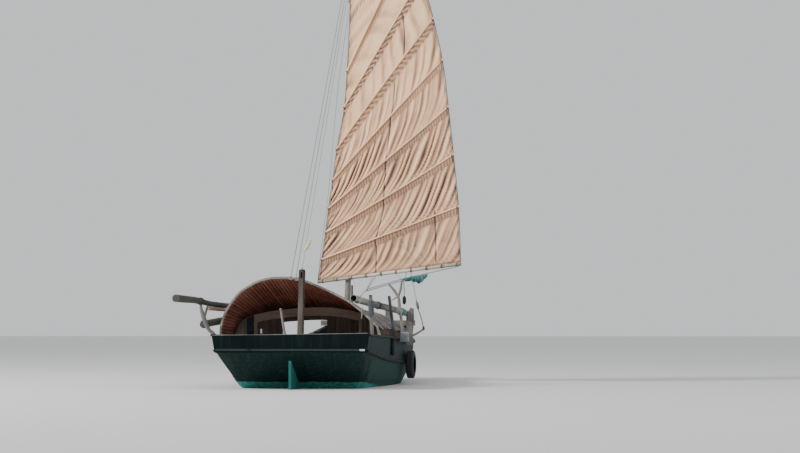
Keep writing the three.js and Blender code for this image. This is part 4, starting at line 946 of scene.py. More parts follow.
def hewnPost(name, rows, y, seed, slot=None):
    # rows of z, x, width, depth; each ring is a square with rounded, unevenly worn corners
    rows = np.array(rows, float)
    top = rows[-1, 0]
    z = np.unique(np.concatenate([np.linspace(rows[0, 0], top - 0.04, 200), np.linspace(top - 0.04, top, 12)]))
    z = z[:, None]
    middle, width, thick = (np.interp(z, rows[:, 0], rows[:, k]) for k in range(1, 4))
    q = onceRound(postLook["corners"])[None]
    cornerA, cornerB = roundedSquare(q, 0.34)
    wear = postLook["wearMm"] / 1000 / thick * 2
    rough = 1 - wear * (1 - ripple(z * 5, q * 1.5, seed) * 0.5 - ripple(z, q * 7, seed + 1))
    x = middle + cornerA * width / 2 * rough
    depth = cornerB * thick / 2 * rough
    # the grain varies round the post, and its top 50 mm go dark
    tone = 0.5 + 0.25 * ripple(z * 1.2, q * 6, seed + 2) - 0.35 * np.clip((z - top + 0.05) / 0.05, 0, 1)
    if slot:
        far = np.maximum(np.abs(x - slot["slotX"]) / (slot["slotWide"] / 2),
                         np.abs(z - slot["slotZ"]) / (slot["slotHigh"] / 2))
        inSlot = np.clip((1.12 - far) / 0.12, 0, 1) * (np.abs(cornerB) > 0.95)
        # painted shade: the tiller's slot is darkened in its recess
        tone = tone - 0.9 * inSlot
        depth = depth - np.sign(depth) * inSlot * slot["deepMm"] / 1000
    grid = np.stack([x, y + depth, z + 0 * x], -1)
    return gridPiece(name, grid, closeColumns=True, tone=tone, sharpDeg=40)


collarTopZ = float(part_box("rudder_collar")[1][2]) + 0.001
# the tiller's slot is pressed into the head from both faces
rudderY = -3.3
rudderPost = hewnPost("rudderPost", [
    [collarTopZ, 0.0, 0.112, 0.096], [0.9, -0.004, 0.11, 0.094], [1.5, 0.008, 0.108, 0.092],
    [1.7, 0.014, 0.109, 0.092], [2.0, 0.022, 0.11, 0.092], [2.028, 0.022, 0.102, 0.086],
    [2.037, 0.022, 0.082, 0.068], [2.04, 0.022, 0.05, 0.04],
], rudderY, 41, postLook)
lowStock = polePiece("lowerStock", np.linspace([0, rudderY, -0.81], [0, rudderY, collarTopZ - 0.0005], 30),
                     0.0548, 32)
fit(joined("rudderStock", [rudderPost, lowStock]), postWood, "rudder", "grey_wood", "rudder_stock", "rudder_head")
railZ = railAt(np.array([0.351, 2.5025]))[:, 1] + 0.001
aftPost = hewnPost("railPostAft", [[railZ[0], 1.34, 0.064, 0.042], [1.575, 1.3155, 0.063, 0.041],
                                   [1.592, 1.315, 0.046, 0.028]], -3.899, 44)
fit(aftPost, railPostGrey, "hull", "grey_wood", "rail_post_aft")
midPost = hewnPost("railPostMid", [[railZ[1], 1.391, 0.056, 0.044], [1.59, 1.2975, 0.055, 0.043],
                                   [1.607, 1.297, 0.038, 0.03]], -1.7475, 47)
fit(midPost, railPostDark, "hull", "dark_log", "rail_post_mid")
fenderWood = timber("tarredFenderWood", [(0.2, "#0d1113"), (0.5, "#1c2327"), (0.8, "#333c40")], "Z", longMm=300,
                    stains=0.4, toneShare=0.6)
fender = hewnPost("fenderBlock", [[0.546, 1.397, 0.036, 0.1], [0.57, 1.397, 0.046, 0.122],
                                  [0.8, 1.397, 0.046, 0.122], [0.8425, 1.397, 0.04, 0.112]], -1.9175, 48)
fit(fender, fenderWood, "hull", "dark_wood", "fender_block")
print("spars and posts stand")


# tyre, can and mast

tyreLook = {"radius": 0.258, "width": 0.142, "centre": (1.4786, -0.30, 0.365), "blocks": 46, "treadMm": 7}
# the tyre's section: rows of width and radius as shares of the whole
profile = np.array([
    [-0.42, 0.62], [-0.47, 0.60], [-0.5, 0.64], [-0.5, 0.74], [-0.49, 0.84], [-0.44, 0.93], [-0.38, 0.972],
    [-0.3, 0.99], [-0.2, 0.997], [-0.1, 1.0], [0, 1.0], [0.1, 1.0], [0.2, 0.997], [0.3, 0.99], [0.38, 0.972],
    [0.44, 0.93], [0.49, 0.84], [0.5, 0.74], [0.5, 0.64], [0.47, 0.60], [0.42, 0.62], [0.4, 0.74], [0.36, 0.86],
    [0.2, 0.92], [-0.2, 0.92], [-0.36, 0.86], [-0.4, 0.74],
])
# six rings of points to each block of the tread
around = onceRound(6 * tyreLook["blocks"])
rim = profile[None, :, 1] * tyreLook["radius"]
wide = np.repeat(profile[None, :, 0] * tyreLook["width"], len(around), 0)
onTread = (np.abs(profile[:, 0]) < 0.4) & (profile[:, 1] > 0.96)
# cross grooves slant one way on each half of the tread, and a centre groove parts them
slant = (around[:, None] * tyreLook["blocks"] / (2 * math.pi) + np.sign(profile[None, :, 0]) * 0.5
         + np.abs(profile[None, :, 0]) * 1.2) % 1
cut = ((slant < 0.24) | (np.abs(profile[None, :, 0]) < 0.02)) & onTread[None]
rim = rim - cut * tyreLook["treadMm"] / 1000
tyreGrid = np.stack([
    tyreLook["centre"][0] + wide, tyreLook["centre"][1] + rim * np.cos(around)[:, None],
    tyreLook["centre"][2] + rim * np.sin(around)[:, None],
], -1)
tyrePiece = gridPiece("tyreFender", tyreGrid, closeRows=True, closeColumns=True, sharpDeg=30)
tyreRubber = mottled("greyedVulcanisedRubber", 0.82, {"Scale": 18, "Detail": 6, "Roughness": 0.7},
                     [(0.3, "#17191b"), (0.6, "#2b2e31"), (0.8, "#4c4f50")])
fit(tyrePiece, tyreRubber, "hull", "tyre", "tyre_fender")

canBox = np.array(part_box("rail_can"))
canLook = {"corner": 0.3, "neckRadius": 0.02}
q = onceRound(40)
canMid = canBox.mean(0)
canHalf = (canBox[1] - canBox[0]) / 2
# rows of height and width as shares of the can's own
levels = np.array([[0.0, 0.9], [0.02, 0.985], [0.08, 1.0], [0.3, 0.985], [0.5, 0.98], [0.7, 0.985], [0.86, 1.0],
                   [0.92, 0.96], [0.95, 0.8], [0.955, 0.3]])
cornerX, cornerY = roundedSquare(q, canLook["corner"])
body = np.stack([
    canMid[0] + canHalf[0] * levels[:, 1:2] * cornerX,
    canMid[1] + canHalf[1] * levels[:, 1:2] * cornerY,
    np.repeat(canBox[0][2] + levels[:, 0:1] * 2 * canHalf[2], len(q), 1),
], -1)
canTop = np.array([canMid[0], canMid[1], canBox[1][2]])
neckPath = canTop + [[-0.04, 0, -0.012], [-0.04, 0, -0.001]]
handlePath = pathThrough(canTop + [[-0.01, 0, -0.012], [0.02, 0, 0.012], [0.05, 0, -0.012]], 14)
canPiece = joined("railCan", [
    gridPiece("canBody", body, closeColumns=True, sharpDeg=50),
    polePiece("canNeck", neckPath, canLook["neckRadius"], 24),
    polePiece("canHandle", handlePath, 0.006, 10),
])
canPlastic = mottled("fadedPolyethyleneCan", 0.55, {"Scale": 11, "Detail": 5},
                     [(0.3, "#616e70"), (0.7, "#8f9b9b")])
fit(canPiece, canPlastic, "hull", "can", "rail_can")

mastLean = 0.05  # to starboard, per metre up
mastFoot = np.array([-0.06, 1.35, 0.5])
mastWay = np.array([mastLean, 0, 1.0]) / math.hypot(mastLean, 1)
mastH = np.linspace(0, 9.9, 160)
mastTaper = np.array([[0, 0.062], [1.5, 0.055], [8, 0.038], [9.9, 0.03]])
mastRadius = np.interp(mastH, *mastTaper.T)
q = onceRound(24)
mastRough = 1 + 0.02 * ripple(mastH[:, None] * 3, q[None] * 2, 51) - 0.01
mastPiece = polePiece("mastPole", mastFoot + mastH[:, None] * mastWay, mastRadius[:, None] * mastRough, 24)
fit(mastPiece, paleBranch, "hull", "pale_wood", "mast")
print("tyre, can and mast are made")


# the sail

# the sail stands swung out by 20 degrees, and its plane leans with the mast
turn = math.radians(20)
lean = math.atan(mastLean)
sailOut = np.array([math.cos(turn) * math.cos(lean), -math.sin(turn), -math.cos(turn) * math.sin(lean)])
sailFore = np.array([math.sin(turn) * math.cos(lean), math.cos(turn), -math.sin(turn) * math.sin(lean)])
clothN = -0.104  # the cloth lies abaft the mast


def sailPoint(s, h, n):
    # s out along the foot, h up the mast, n forward of the mast
    s, h, n = np.broadcast_arrays(np.asarray(s, float), np.asarray(h, float), np.asarray(n, float))
    return mastFoot + s[..., None] * sailOut + h[..., None] * mastWay + n[..., None] * sailFore


# each line of the sail: luff s, luff h, leech s, leech h, upward bow at mid length
sailLines = np.array([
    [-0.616, 1.443, 2.477, 1.886, 0.0],
    [-0.562, 1.838, 2.375, 2.928, 0.0],
    [-0.501, 2.366, 2.215, 3.906, -0.025],
    [-0.460, 2.834, 2.058, 4.811, -0.01],
    [-0.401, 3.380, 1.881, 5.701, 0.02],
    [-0.345, 3.983, 1.643, 6.501, 0.03],
    [-0.222, 4.798, 1.345, 7.320, 0.0],
    [-0.200, 5.496, 1.085, 8.060, 0.03],
    [-0.204, 6.842, 0.461, 9.492, 0.0],
])
# in metres: the belly of a panel, the hollow of its ends, the depth of its creases and of a double band
sailLook = {"columns": 252, "plainRows": 16, "bandRows": 8, "belly": 0.03, "hollow": 0.014, "crease": 0.011,
            "bandLift": 0.012, "mastGap": 0.014}
# settings of the eight panels, from the foot up
panelLook = {
    "bandMm": [150, 150, 150, 160, 190, 190, 140, 0],
    "folds": [17, 18, 17, 15, 12, 8, 6, 4],  # folds across the panel
    "sweep": [0.20, 0.27, 0.26, 0.22, 0.16, 0.12, 0.10, 0.0],  # how far a fold runs towards the luff
    "slant": [0, 0, 0, 0, 0, 1.0, 2.5, 4.5],  # folds that lie along the panel instead
    "foldMm": [33, 36, 38, 36, 30, 20, 9, 26],
    # shade scales the painted light on the folds, and base is the tone it lies on
    "shade": [1.0, 1.0, 1.0, 0.95, 0.85, 0.6, 0.25, 0.62],
    "base": [0.57, 0.575, 0.585, 0.63, 0.70, 0.72, 0.72, 0.73],
    "crumple": [0.3, 0.5, 0.9, 1.0, 1.0, 0.8, 0.5, 0.4],  # how creased the cloth is along the luff
    # bandTone and ruffleTone: the band's tone and the painted light and shade on its ruffles
    "bandTone": [0.34, 0.34, 0.36, 0.42, 0.40, 0.38, 0.5, 0.55],
    "ruffleTone": [0.12, 0.13, 0.12, 0.09, 0.2, 0.3, 0.04, 0.0],
    "ruffleMm": [3, 3, 3, 3, 11, 14, 3, 0],
    "ruffleWave": [0.066, 0.066, 0.066, 0.07, 0.14, 0.14, 0.07, 0.07],
    "ruffleLean": [0.25, 0.25, 0.25, 0.25, 1.5, 1.7, 0.5, 0.5],
}
# rows of s and h of the sewn seams
sailSeams = [
    np.array([[0.659, 1.588], [0.621, 2.259], [0.69, 2.607], [0.76, 2.916], [0.737, 3.318], [0.76, 3.702],
              [0.776, 4.182], [0.818, 4.604], [0.848, 4.853], [0.852, 5.30]]),
    np.array([[1.945, 1.878], [1.869, 2.861]]),
    np.array([[1.033, 5.827], [1.007, 6.286], [0.966, 6.631]]),
]


def lineAt(row, p):
    # the point at a share p of a line's length, raised by the line's upward bow
    luffS, luffH, leechS, leechH, bow = row
    return luffS + (leechS - luffS) * p, luffH + (leechH - luffH) * p + bow * 4 * p * (1 - p)


def foldShape(phase):
    # a sine that leans over: each ridge falls away slowly on its luff side and sharply on the other
    turned = phase * 2 * math.pi
    return np.sin(turned - 0.75 * np.sin(turned))


def sailCloth():
    # between two battens the cloth hangs from the upper one: its folds run straight down from there and
    # sweep towards the luff to meet the lower one at a tangent; a ruffled double band lies under each batten
    p = np.linspace(0, 1, sailLook["columns"])
    sRows, hRows, nRows, tones = [], [], [], []
    for i in range(len(sailLines) - 1):
        panel = {key: values[i] for key, values in panelLook.items()}
        s0, h0 = lineAt(sailLines[i], p)
        s1, h1 = lineAt(sailLines[i + 1], p)
        height = np.hypot(s1 - s0, h1 - h0)
        top = i == len(sailLines) - 2
        band = height * 0.04 if top else np.minimum(panel["bandMm"] / 1000, height * 0.4)
        bandShare = (band / height)[None]
        plain = np.linspace(0, 1, sailLook["plainRows"], endpoint=False)[:, None] * (1 - bandShare)
        upper = 1 - bandShare * (1 - np.linspace(0, 1, sailLook["bandRows"])[:, None] ** 0.8)
        q = np.concatenate([plain, upper[:-1]] + ([upper[-1:]] if top else []))
        pp = np.repeat(p[None], len(q), 0)
        # the band's lower edge is 16 mm soft, and free runs from 0 at the foot to 1 at that edge
        inBand = np.clip((q - (1 - bandShare)) / (0.016 / height)[None], 0, 1)
        free = np.clip(q / (1 - bandShare), 0, 1)
        warp = pp + panel["sweep"] * (1 - np.clip(q + 0.02, 0, 1) ** 0.55)
        warp = warp + 0.012 * ripple(pp * 8, q * 3, 60 + i) + 0.02 * ripple(pp * 3, q * 1.5, 80 + i)
        phase = warp * panel["folds"] + panel["slant"] * q
        unevenly = phase + 0.45 * ripple(phase * 0.55, 0 * q, 90 + i)
        ridge = foldShape(unevenly)
        second = foldShape(unevenly * 0.47 + 0.3 * i)
        strength = np.clip(0.72 + 0.42 * ripple(phase * 0.4, q * 1.3, 100 + i), 0.2, 1.2)
        hang = np.sin(free * math.pi * 0.80 + 0.22) ** 0.8
        edge = np.clip(np.minimum(pp, 1 - pp) / 0.03, 0, 1) ** 0.5
        raised = hang * strength * (0.62 * ridge + 0.38 * second)
        fold = panel["foldMm"] / 1000 * raised * (0.3 + 0.7 * edge)
        chord = math.hypot(*(sailLines[i + 1][2:4] - sailLines[i + 1][:2]))
        down = (1 - q) * height[None] / 0.13
        along = pp * chord / panel["ruffleWave"] - panel["ruffleLean"] * down
        ruffle = np.sin(along * 2 * math.pi + 2.5 * ripple(pp * 20, q * 2, 120 + i))
        doubled = sailLook["bandLift"] + panel["ruffleMm"] / 1000 * ruffle * np.clip(3 * down, 0, 1)
        creased = ripple(pp * 34 + q * 9, q * 16 - pp * 20, 160 + i)
        creased = creased * np.exp(-((pp / 0.11) ** 2)) * panel["crumple"]
        fold = fold + sailLook["crease"] * creased * hang
        lift = fold * (1 - inBand) + (0.004 if top else doubled) * inBand
        # the whole panel bellies a little between its battens, away from the wind
        belly = sailLook["belly"] * np.sin(q * math.pi) * np.sin(pp * math.pi) ** 0.8
        # its luff and leech are hollowed a little, as is cloth that hangs between two points
        hollow = sailLook["hollow"] * np.sin(q * math.pi) * np.sign(pp - 0.5) * np.abs(2 * pp - 1) ** 6
        sRows.append(s0[None] + (s1 - s0)[None] * q - hollow)
        hRows.append(h0[None] + (h1 - h0)[None] * q)
        nRows.append(clothN - lift + belly)
        # painted light: crests are lightened and creases darkened, flanks that face the luff lighter and the others
        # darker, and the crumpled luff's creases shaded the same way
        paintedSlopeLight = np.clip(np.gradient(raised, axis=1) * 3.2, -1, 1)
        paintedFoldLight = 0.48 * np.clip(raised, 0, None) ** 0.8 - 0.78 * np.clip(-raised, 0, None) ** 0.9
        shade = panel["base"] + panel["shade"] * (paintedFoldLight + 0.2 * paintedSlopeLight)
        shade = shade + 0.06 * ripple(pp * 14, q * 9, 140 + i) + 0.22 * creased
        # painted shade: the cloth is darker where it gathers against the batten below and along the luff
        shade = shade - 0.16 * np.clip(1 - q * height[None] / 0.05, 0, 1) - 0.14 * np.clip(1 - pp / 0.12, 0, 1)
        # painted light and shade along the band's ruffles, and a painted highlight lightens its top just under the
        # batten
        banded = panel["bandTone"] + panel["ruffleTone"] * ruffle + 0.05 * ripple(pp * 6, q * 3, 150 + i)
        banded = banded + 0.3 * np.exp(-((down * 0.13 / 0.03) ** 2))
        tones.append(shade * (1 - inBand) + inBand * banded)
    s = np.concatenate(sRows)
    h = np.concatenate(hRows)
    n = np.concatenate(nRows)
    tone = np.concatenate(tones)
    # the folds flatten where the cloth passes the mast
    clear = 0.8 * np.clip(np.abs(s) - 0.05, 0, None) - np.interp(h, *mastTaper.T) - sailLook["mastGap"]
    n = np.minimum(n, clear)
    for seam in sailSeams:
        # a sewn seam is a thin dark line where s meets the seam's line
        place = np.interp(h, seam[:, 1], seam[:, 0])
        on = (h > seam[0, 1]) & (h < seam[-1, 1])
        tone = tone - 0.55 * np.exp(-(((s - place) / 0.015) ** 2)) * on
        tone = tone + 0.16 * np.exp(-(((s - place - 0.034) / 0.014) ** 2)) * on
    share = np.linspace(0, 1, s.shape[1])[None]
    # the hems at luff and leech are darker
    tone = tone - 0.2 * (np.minimum(share, 1 - share) < 0.012)
    return gridPiece("sailCanvas", sailPoint(s, h, n), tone=np.clip(tone, 0, 1), sharpDeg=180)


# dyed cotton canvas: its ramp maps the mesh's tone, which carries painted highlights on the ridges and painted
# shade in the creases
canvasMaterial, canvasTree, canvasShader = newMaterial("tanDyedCottonCanvas", 0.92)
canvasShader.inputs["Sheen Weight"].default_value = 0.15
canvasSource = addNode(canvasTree, "TexCoord")
canvasTone = addNode(canvasTree, "Attribute", attribute_name="tone")
canvasNoise = addNode(canvasTree, "TexNoise", {"Scale": 3.0, "Detail": 6, "Roughness": 0.6},
                      {"Vector": (canvasSource, "Object")})
canvasSpread = addNode(canvasTree, "MapRange", {"To Min": -0.14, "To Max": 0.14},
                       {"Value": (canvasNoise, "Fac")})
canvasSum = addNode(canvasTree, "Math", links={0: (canvasTone, "Fac"), 1: (canvasSpread, 0)}, operation="ADD")
canvasRamp = addNode(canvasTree, "ValToRGB", links={"Fac": (canvasSum, 0)}, stops=[
    (0.0, "#4c3a30"), (0.22, "#8a6d5b"), (0.5, "#c49877"), (0.75, "#f4c59b"), (1.0, "#ffdcb2")])
# the weave is drawn at 7 mm, ten times coarser than the real thread, so that it shows
canvasWeave = addNode(canvasTree, "TexNoise", {"Scale": 140, "Detail": 2}, {"Vector": (canvasSource, "UV")})
canvasBump = addNode(canvasTree, "Bump", {"Strength": 0.25, "Distance": 0.002},
                     {"Height": (canvasWeave, "Fac")})
wire(canvasTree, canvasShader, (canvasRamp, "Color"), canvasBump)
canvas = sailCloth()
fit(canvas, canvasMaterial, "sail", "sail_cloth", "sail_cloth")
thicken(canvas, 0.003, 0)
print("sail is bent on")


def sailPole(name, row, n, radius, taper, spacing, over, seed, replaced, material):
    # a cane along a line of the sail, that runs past its ends by the share called over
    s, h = lineAt(row, np.linspace(-over, 1 + over, 9))
    pole = bambooPole(name, sailPoint(s, h, n), radius, spacing, taper, 14, seed, 140, 0.004, 0.12)
    return fit(pole, material, "sail", "bamboo", replaced)


def heightOn(row, s):
    # how high up the mast a straight line of the sail is at the given s
    return row[1] + (row[3] - row[1]) * (s - row[0]) / (row[2] - row[0])


boomRow = np.array([-0.616, 1.407, 2.477, 1.85, 0.0])
yardRow = np.array([-0.235, 6.85, 0.43, 9.5, 0.0])
battenN = clothN - 0.0295
battenRows = sailLines[1:8]
sailPole("boomPole", boomRow, clothN, 0.0345, 0.15, 0.34, 0.0, 61, "boom", whiteBamboo)
sailPole("yardPole", yardRow, clothN, 0.031, 0.2, 0.32, 0.0, 62, "yard", whiteBamboo)
for i, row in enumerate(battenRows):
    sailPole(f"batten{i + 1}", row, battenN, 0.0165, 0.2, 0.3, 0.014, 63 + i, f"batten_{i + 1}", tanBamboo)
print("battens are tied on")


# ropes and lashings

ropeMaterial, ropeTree, ropeShader = newMaterial("laidPolymerRope", 0.8)
ropeSource = addNode(ropeTree, "TexCoord")
# three strands: slanting ridges once round every 30 mm of rope, from the tube's own UV
ropeTurned = addNode(ropeTree, "Mapping", {"Rotation": (0, 0, 0.7), "Scale": (40, 40, 1)},
                     {"Vector": (ropeSource, "UV")})
ropeWave = addNode(ropeTree, "TexWave", {"Scale": 1.0, "Distortion": 0.4}, {"Vector": (ropeTurned, "Vector")})
ropeRamp = addNode(ropeTree, "ValToRGB", links={"Fac": (ropeWave, "Fac")},
                   stops=[(0.1, "#6c7a77"), (0.6, "#a3aeab"), (0.9, "#d0d6d2")])
wire(ropeTree, ropeShader, (ropeRamp, "Color"),
     addNode(ropeTree, "Bump", {"Strength": 0.6, "Distance": 0.003}, {"Height": (ropeWave, "Fac")}))


def ropeTint(name, stops):
    # the same rope with its three colour stops changed
    tinted = ropeMaterial.copy()
    tinted.name = name
    ramp = next(n for n in tinted.node_tree.nodes if n.type == "VALTORGB")
    for element, colour in zip(ramp.color_ramp.elements, stops):
        element.color = hexColour(colour)
    return tinted


darkRope = ropeTint("darkTarredRope", ["#22211f", "#3d3a35", "#5a554c"])
tealRope = ropeTint("tealPolymerRope", ["#1f5a5a", "#3f8a88", "#74b4ae"])
paleRope = ropeTint("bleachedCottonRope", ["#9a917f", "#c6bdaa", "#e4dccb"])
greyRope = ropeTint("greyedManilaRope", ["#4c463f", "#77706a", "#9a9389"])
slateRope = ropeTint("slateBlueRope", ["#2c3034", "#4b5158", "#747a80"])
floatFoam = timber("weatheredFoamFloat", [(0.2, "#a8a067"), (0.5, "#d8d3a2"), (0.8, "#f2efd4")], "Z", True,
                   grainMm=9, longMm=40, roughness=0.8, stains=0.5)
netMaterial = timber("gatheredPolymerNet", [(0.2, "#22464b"), (0.5, "#447075"), (0.8, "#7da0a3")], "Y", True,
                     grainMm=6, longMm=30, roughness=0.75, bumpMm=3, stains=0.4, toneShare=0.5)


def ropeLine(name, points, radius, material, body, count=60, *replaced):
    # a rope through the given points
    piece = polePiece(name, pathThrough(points, count), radius, 10)
    return fit(piece, material, body, "rope", *replaced)


def lashing(name, centre, axis, radius, turns, pitch, ropeRadius, material, body, *replaced):
    # a helix round an axis: angle grows with the share of the turns, and the height with the pitch
    axis = np.asarray(axis, float) / np.linalg.norm(axis)
    spare = np.array([0, 0, 1.0]) if abs(axis[2]) < 0.8 else np.array([1.0, 0, 0])
    u = np.cross(axis, spare)
    u /= np.linalg.norm(u)
    v = np.cross(axis, u)
    a = np.linspace(0, turns * 2 * math.pi, int(turns * 16) + 1)
    out = np.cos(a)[:, None] * u + np.sin(a)[:, None] * v
    path = np.asarray(centre, float) + radius * out + ((a / (2 * math.pi) - turns / 2) * pitch)[:, None] * axis
    way = np.gradient(path, axis=0)
    way /= np.linalg.norm(way, axis=1)[:, None]
    up = np.cross(way, out)
    ring = onceRound(8)
    grid = path[:, None] + ropeRadius * (out[:, None] * np.cos(ring)[None, :, None]
                                         + up[:, None] * np.sin(ring)[None, :, None])
    piece = gridPiece(name, grid, closeColumns=True, across=np.linspace(0, 0.03, 9),
                      along=lengthsAlong(path))
    return fit(piece, material, body, "rope", *replaced)


headPoint = mastFoot + 9.79 * mastWay
ropeLook = {"stayMm": 9, "sheetMm": 9}
stayRadius = ropeLook["stayMm"] / 1000
for name, cadName, x, dx, z in (("stayPort", "stay_port", -0.215, -0.014, 1.925),
                                ("stayCentre", "stay_centre", -0.127, 0.014, 1.907)):
    ropeLine(name, [[x, -3.108, z], headPoint + [dx, -0.042, 0]], stayRadius, ropeMaterial, "hull", 40, cadName)
ropeLine("rudderLift", [[0.022, -3.3, 2.046], headPoint + [0.02, -0.045, -0.05]], 0.006, ropeMaterial, "hull", 40)

# loops that hold the sail to the mast, and its halyard
for name, cadName, row, out in (("boomParrel", "parrel_boom", boomRow, 0.0635),
                                ("yardParrel", "parrel_yard", yardRow, 0.056)):
    lashing(name, sailPoint(0, heightOn(row, 0), 0), mastWay, out, 4, 0.0095, 0.006, darkRope, "sail", cadName)
sling = sailPoint(-0.002, heightOn(yardRow, 0.04), clothN)
ropeLine("halyardRope", [sling, sailPoint(0.0, 9.64, -0.0395)], 0.0075, ropeMaterial, "sail", 40, "halyard")
luffLine = sailPoint([-0.20, -0.36, -0.47, -0.57, -0.6], [6.85, 5.2, 3.0, 1.9, 1.45], -0.145)
ropeLine("luffRope", luffLine, 0.006, ropeMaterial, "sail", 80)
boomWay = sailPoint(1, 0.1432, 0) - mastFoot
for k, s in enumerate(np.linspace(-0.5, 2.4, 10)):
    lashing(f"boomRoband{k + 1}", sailPoint(s, heightOn(boomRow, s), clothN), boomWay, 0.0365 - 0.0015 * k / 4,
            3, 0.009, 0.0045, greyRope, "sail")
for i, row in enumerate(battenRows):
    way = sailPoint(row[2] - row[0], row[3] - row[1], 0) - mastFoot
    for end, p in (("Luff", 0.004), ("Leech", 0.994)):
        s, h = lineAt(row, p)
        lashing(f"batten{i + 1}{end}Tie", sailPoint(s, h, battenN), way, 0.018, 3, 0.008, 0.004, greyRope, "sail")
# bolt ropes sewn to the leech and the luff
for name, p, radius in (("leechRope", 1.0, 0.008), ("luffBoltRope", 0.0, 0.007)):
    hem = [sailPoint(*lineAt(row, p), clothN - 0.004) for row in sailLines]
    ropeLine(name, hem, radius, greyRope, "sail", 160)
# two thin lines lie over the low cloth
for name, first, last in (("lowLineA", (0.90, 2.93), (1.79, 1.80)), ("lowLineB", (0.78, 2.73), (1.62, 1.78))):
    share = np.linspace(0, 1, 7)[:, None]
    run = np.array(first) * (1 - share) + np.array(last) * share
    run = run + np.array([[-0.02, -0.03]]) * np.sin(share * math.pi)
    ropeLine(name, sailPoint(run[:, 0], run[:, 1], clothN - 0.062), 0.004, paleRope, "sail", 60)
print("ropes are rove")


def sheetRope(name, hullPoint, sailEnd, radius, material):
    # a taut straight line from the hull to the sail
    piece = polePiece(name, np.linspace(np.asarray(hullPoint, float), np.asarray(sailEnd, float), 40), radius, 10)
    piece.data.materials.append(material)
    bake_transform(piece)
    return piece


# where the sheets are led: the log's end, the point below the boom, the fork's tip and the strut's tip
sheetRadius = ropeLook["sheetMm"] / 1000
logEnd = np.array([0.952, -2.85, 1.575])
blockPoint = np.array([1.065, -2.8, 1.705])
forkTip = np.array([1.443, -1.10, 1.925])
strutTip = np.array([1.705, -0.24, 1.035])


def boomAt(s):
    # a point on the underside of the boom
    return sailPoint(s, heightOn(boomRow, s) - 0.034, clothN)


ropeLine("sheetTail", [logEnd, blockPoint], 0.014, paleRope, "hull", 12)
for name, drop in (("sheetToForkA", 0), ("sheetToForkB", 0.03)):
    ropeLine(name, [blockPoint - [0, 0, drop], forkTip - [0, 0, drop]], sheetRadius, ropeMaterial, "hull", 24)
strutBlockEnds = np.array([[1.612, -0.24, 1.375], [1.575, -0.24, 1.53]])
for name, hullPoint, s, radius in (
    ("sheetToMidBoomA", blockPoint, 0.60, sheetRadius),
    ("sheetToMidBoomB", blockPoint + [0.01, 0, -0.01], 0.66, sheetRadius),
    ("sheetToBoomEnd", forkTip, 2.44, sheetRadius),
    ("sheetForkToBoom", forkTip + [0.05, 0, 0.02], 1.33, sheetRadius),
    ("sheetForkInner", forkTip + [-0.03, 0, 0.0], 1.12, 0.006),
    ("sheetToStrut", strutBlockEnds[1], 1.42, 0.011),
):
    sheetRope(name, hullPoint, boomAt(s), radius, ropeMaterial)
ropeLine("strutPennant", [strutTip, [1.668, -0.24, 1.2], strutBlockEnds[0]], 0.008, darkRope, "hull", 30)


def pulleyBlock(name, low, high, radius, material):
    # an egg of wood, flattened fore and aft, with a rope groove round its middle
    u = np.linspace(0.2, math.pi - 0.2, 25)
    radii = radius * np.sin(u) ** 0.6 * (1 - 0.16 * np.exp(-(((u - math.pi / 2) / 0.16) ** 2)))
    return fit(polePiece(name, np.linspace(low, high, 25), radii, 20, 0.6), material, "hull", "grey_wood")


pulleyBlock("strutBlock", *strutBlockEnds, 0.028, greyWood)
pulleyBlock("forkBlock", [1.474, -1.1, 1.46], [1.474, -1.1, 1.615], 0.038, railPostDark)
forkStrop = [[1.474, -1.1, 1.6], [1.472, -1.1, 1.76], [1.458, -1.1, 1.92]]
ropeLine("forkBlockStrop", forkStrop, 0.006, darkRope, "hull", 30)
ropeLine("tyreRope", [[1.425, -0.3, 0.80], [1.47, -0.3, 0.78], [1.488, -0.3, 0.67], [1.488, -0.3, 0.655]], 0.008,
         darkRope, "hull", 30)
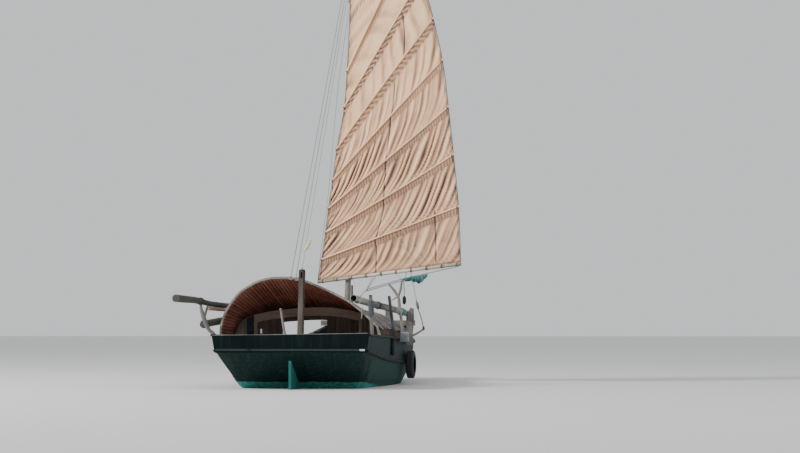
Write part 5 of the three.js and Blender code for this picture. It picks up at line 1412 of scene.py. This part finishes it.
# each lashing: centre, axis, radius, turns, pitch and the rope's own radius
for name, centre, axis, radius, turns, pitch, ropeRadius, material in (
    ("stockHitch", [0.022, -3.3, 2.052], (0, 0, 1), 0.012, 3, 0.011, 0.006, ropeMaterial),
    ("mastheadTurns", headPoint, mastWay, 0.037, 5, 0.014, 0.006, ropeMaterial),
    ("stayHitchPort", [-0.215, -3.107, 1.9], (0, 1, 0), 0.03, 3, 0.013, 0.006, ropeMaterial),
    ("stayHitchCentre", [-0.105, -3.107, 1.883], (0, 1, 0), 0.03, 3, 0.013, 0.006, ropeMaterial),
    ("logSheetTurns", [0.898, -2.76, 1.528], (0.18, 0.98, -0.09), 0.066, 4, 0.015, 0.0065, paleRope),
    ("strutTurns", strutTip, (0.93, 0, 0.36), 0.026, 3, 0.014, 0.006, darkRope),
    ("forkTurns", forkTip + [0, 0, -0.02], (0.1, 0, 1), 0.024, 3, 0.014, 0.006, ropeMaterial),
    ("logForeTurns", [1.35, -0.625, 1.334], (0.21, 0.97, -0.09), 0.0665, 7, 0.016, 0.0075, tealRope),
    ("logMidTurns", [1.094, -1.77, 1.4395], (0.21, 0.97, -0.09), 0.0655, 3, 0.014, 0.0055, darkRope),
    ("portLogTurns", [-1.654, -3.78, 1.491], (0, 1, -0.04), 0.0585, 4, 0.016, 0.007, darkRope),
    ("portLowTurns", [-1.6035, -3.69, 1.1], (0, 1, 0.05), 0.0685, 3, 0.016, 0.006, darkRope),
    ("postTurns", [1.3255, -3.899, 1.365], (-0.055, 0, 1), 0.0415, 15, 0.0165, 0.009, slateRope),
):
    lashing(name, centre, axis, radius, turns, pitch, ropeRadius, material, "hull")
# a float threaded on the rudder's lifting line
floatU = np.linspace(0.1, math.pi - 0.1, 31)
floatPiece = polePiece("liftFloat", np.linspace([0.04, -3.11, 2.37], [0.126, -3.055, 2.565], 31),
                       0.031 * np.sin(floatU) ** 0.35, 20)
fit(floatPiece, floatFoam, "hull", "rope")
# a spare net is slung over a line from the fork's tip: both its halves hang down in folds
netU, netV = np.meshgrid(np.linspace(0, 1, 110), np.linspace(-1, 1, 61), indexing="ij")
netLine = pathThrough([[1.475, -1.1, 1.925], [1.6, -1.1, 1.968], [1.76, -1.1, 1.985], [1.9, -1.1, 2.01]], 110)
netDrop = (0.075 + 0.06 * ripple(netU * 5, netV * 0.6, 171) + 0.03) * np.sin(netU * math.pi * 0.94 + 0.1) ** 0.5
netHang = np.abs(netV) ** 1.4
netFold = 0.016 * np.sin(netU * 44 + 3 * ripple(netU * 7, netV, 172)) * netHang
netGrid = np.stack([
    netLine[:, None, 0] + 0.012 * ripple(netU * 8, netV * 3, 173) * netHang,
    -1.1 + 0.03 * np.tanh(3 * netV) + netFold,
    netLine[:, None, 2] - netDrop * netHang,
], -1)
# painted light: the net's folds are lighter on their ridges and darker in their hollows, and the halves are darker
# away from the line
netPiece = gridPiece("slungNet", netGrid, tone=0.5 + 22 * netFold - 0.2 * netHang, sharpDeg=180)
fit(netPiece, netMaterial, "hull", "rope")
thicken(netPiece, 0.003, 0)
print("sheets are led")
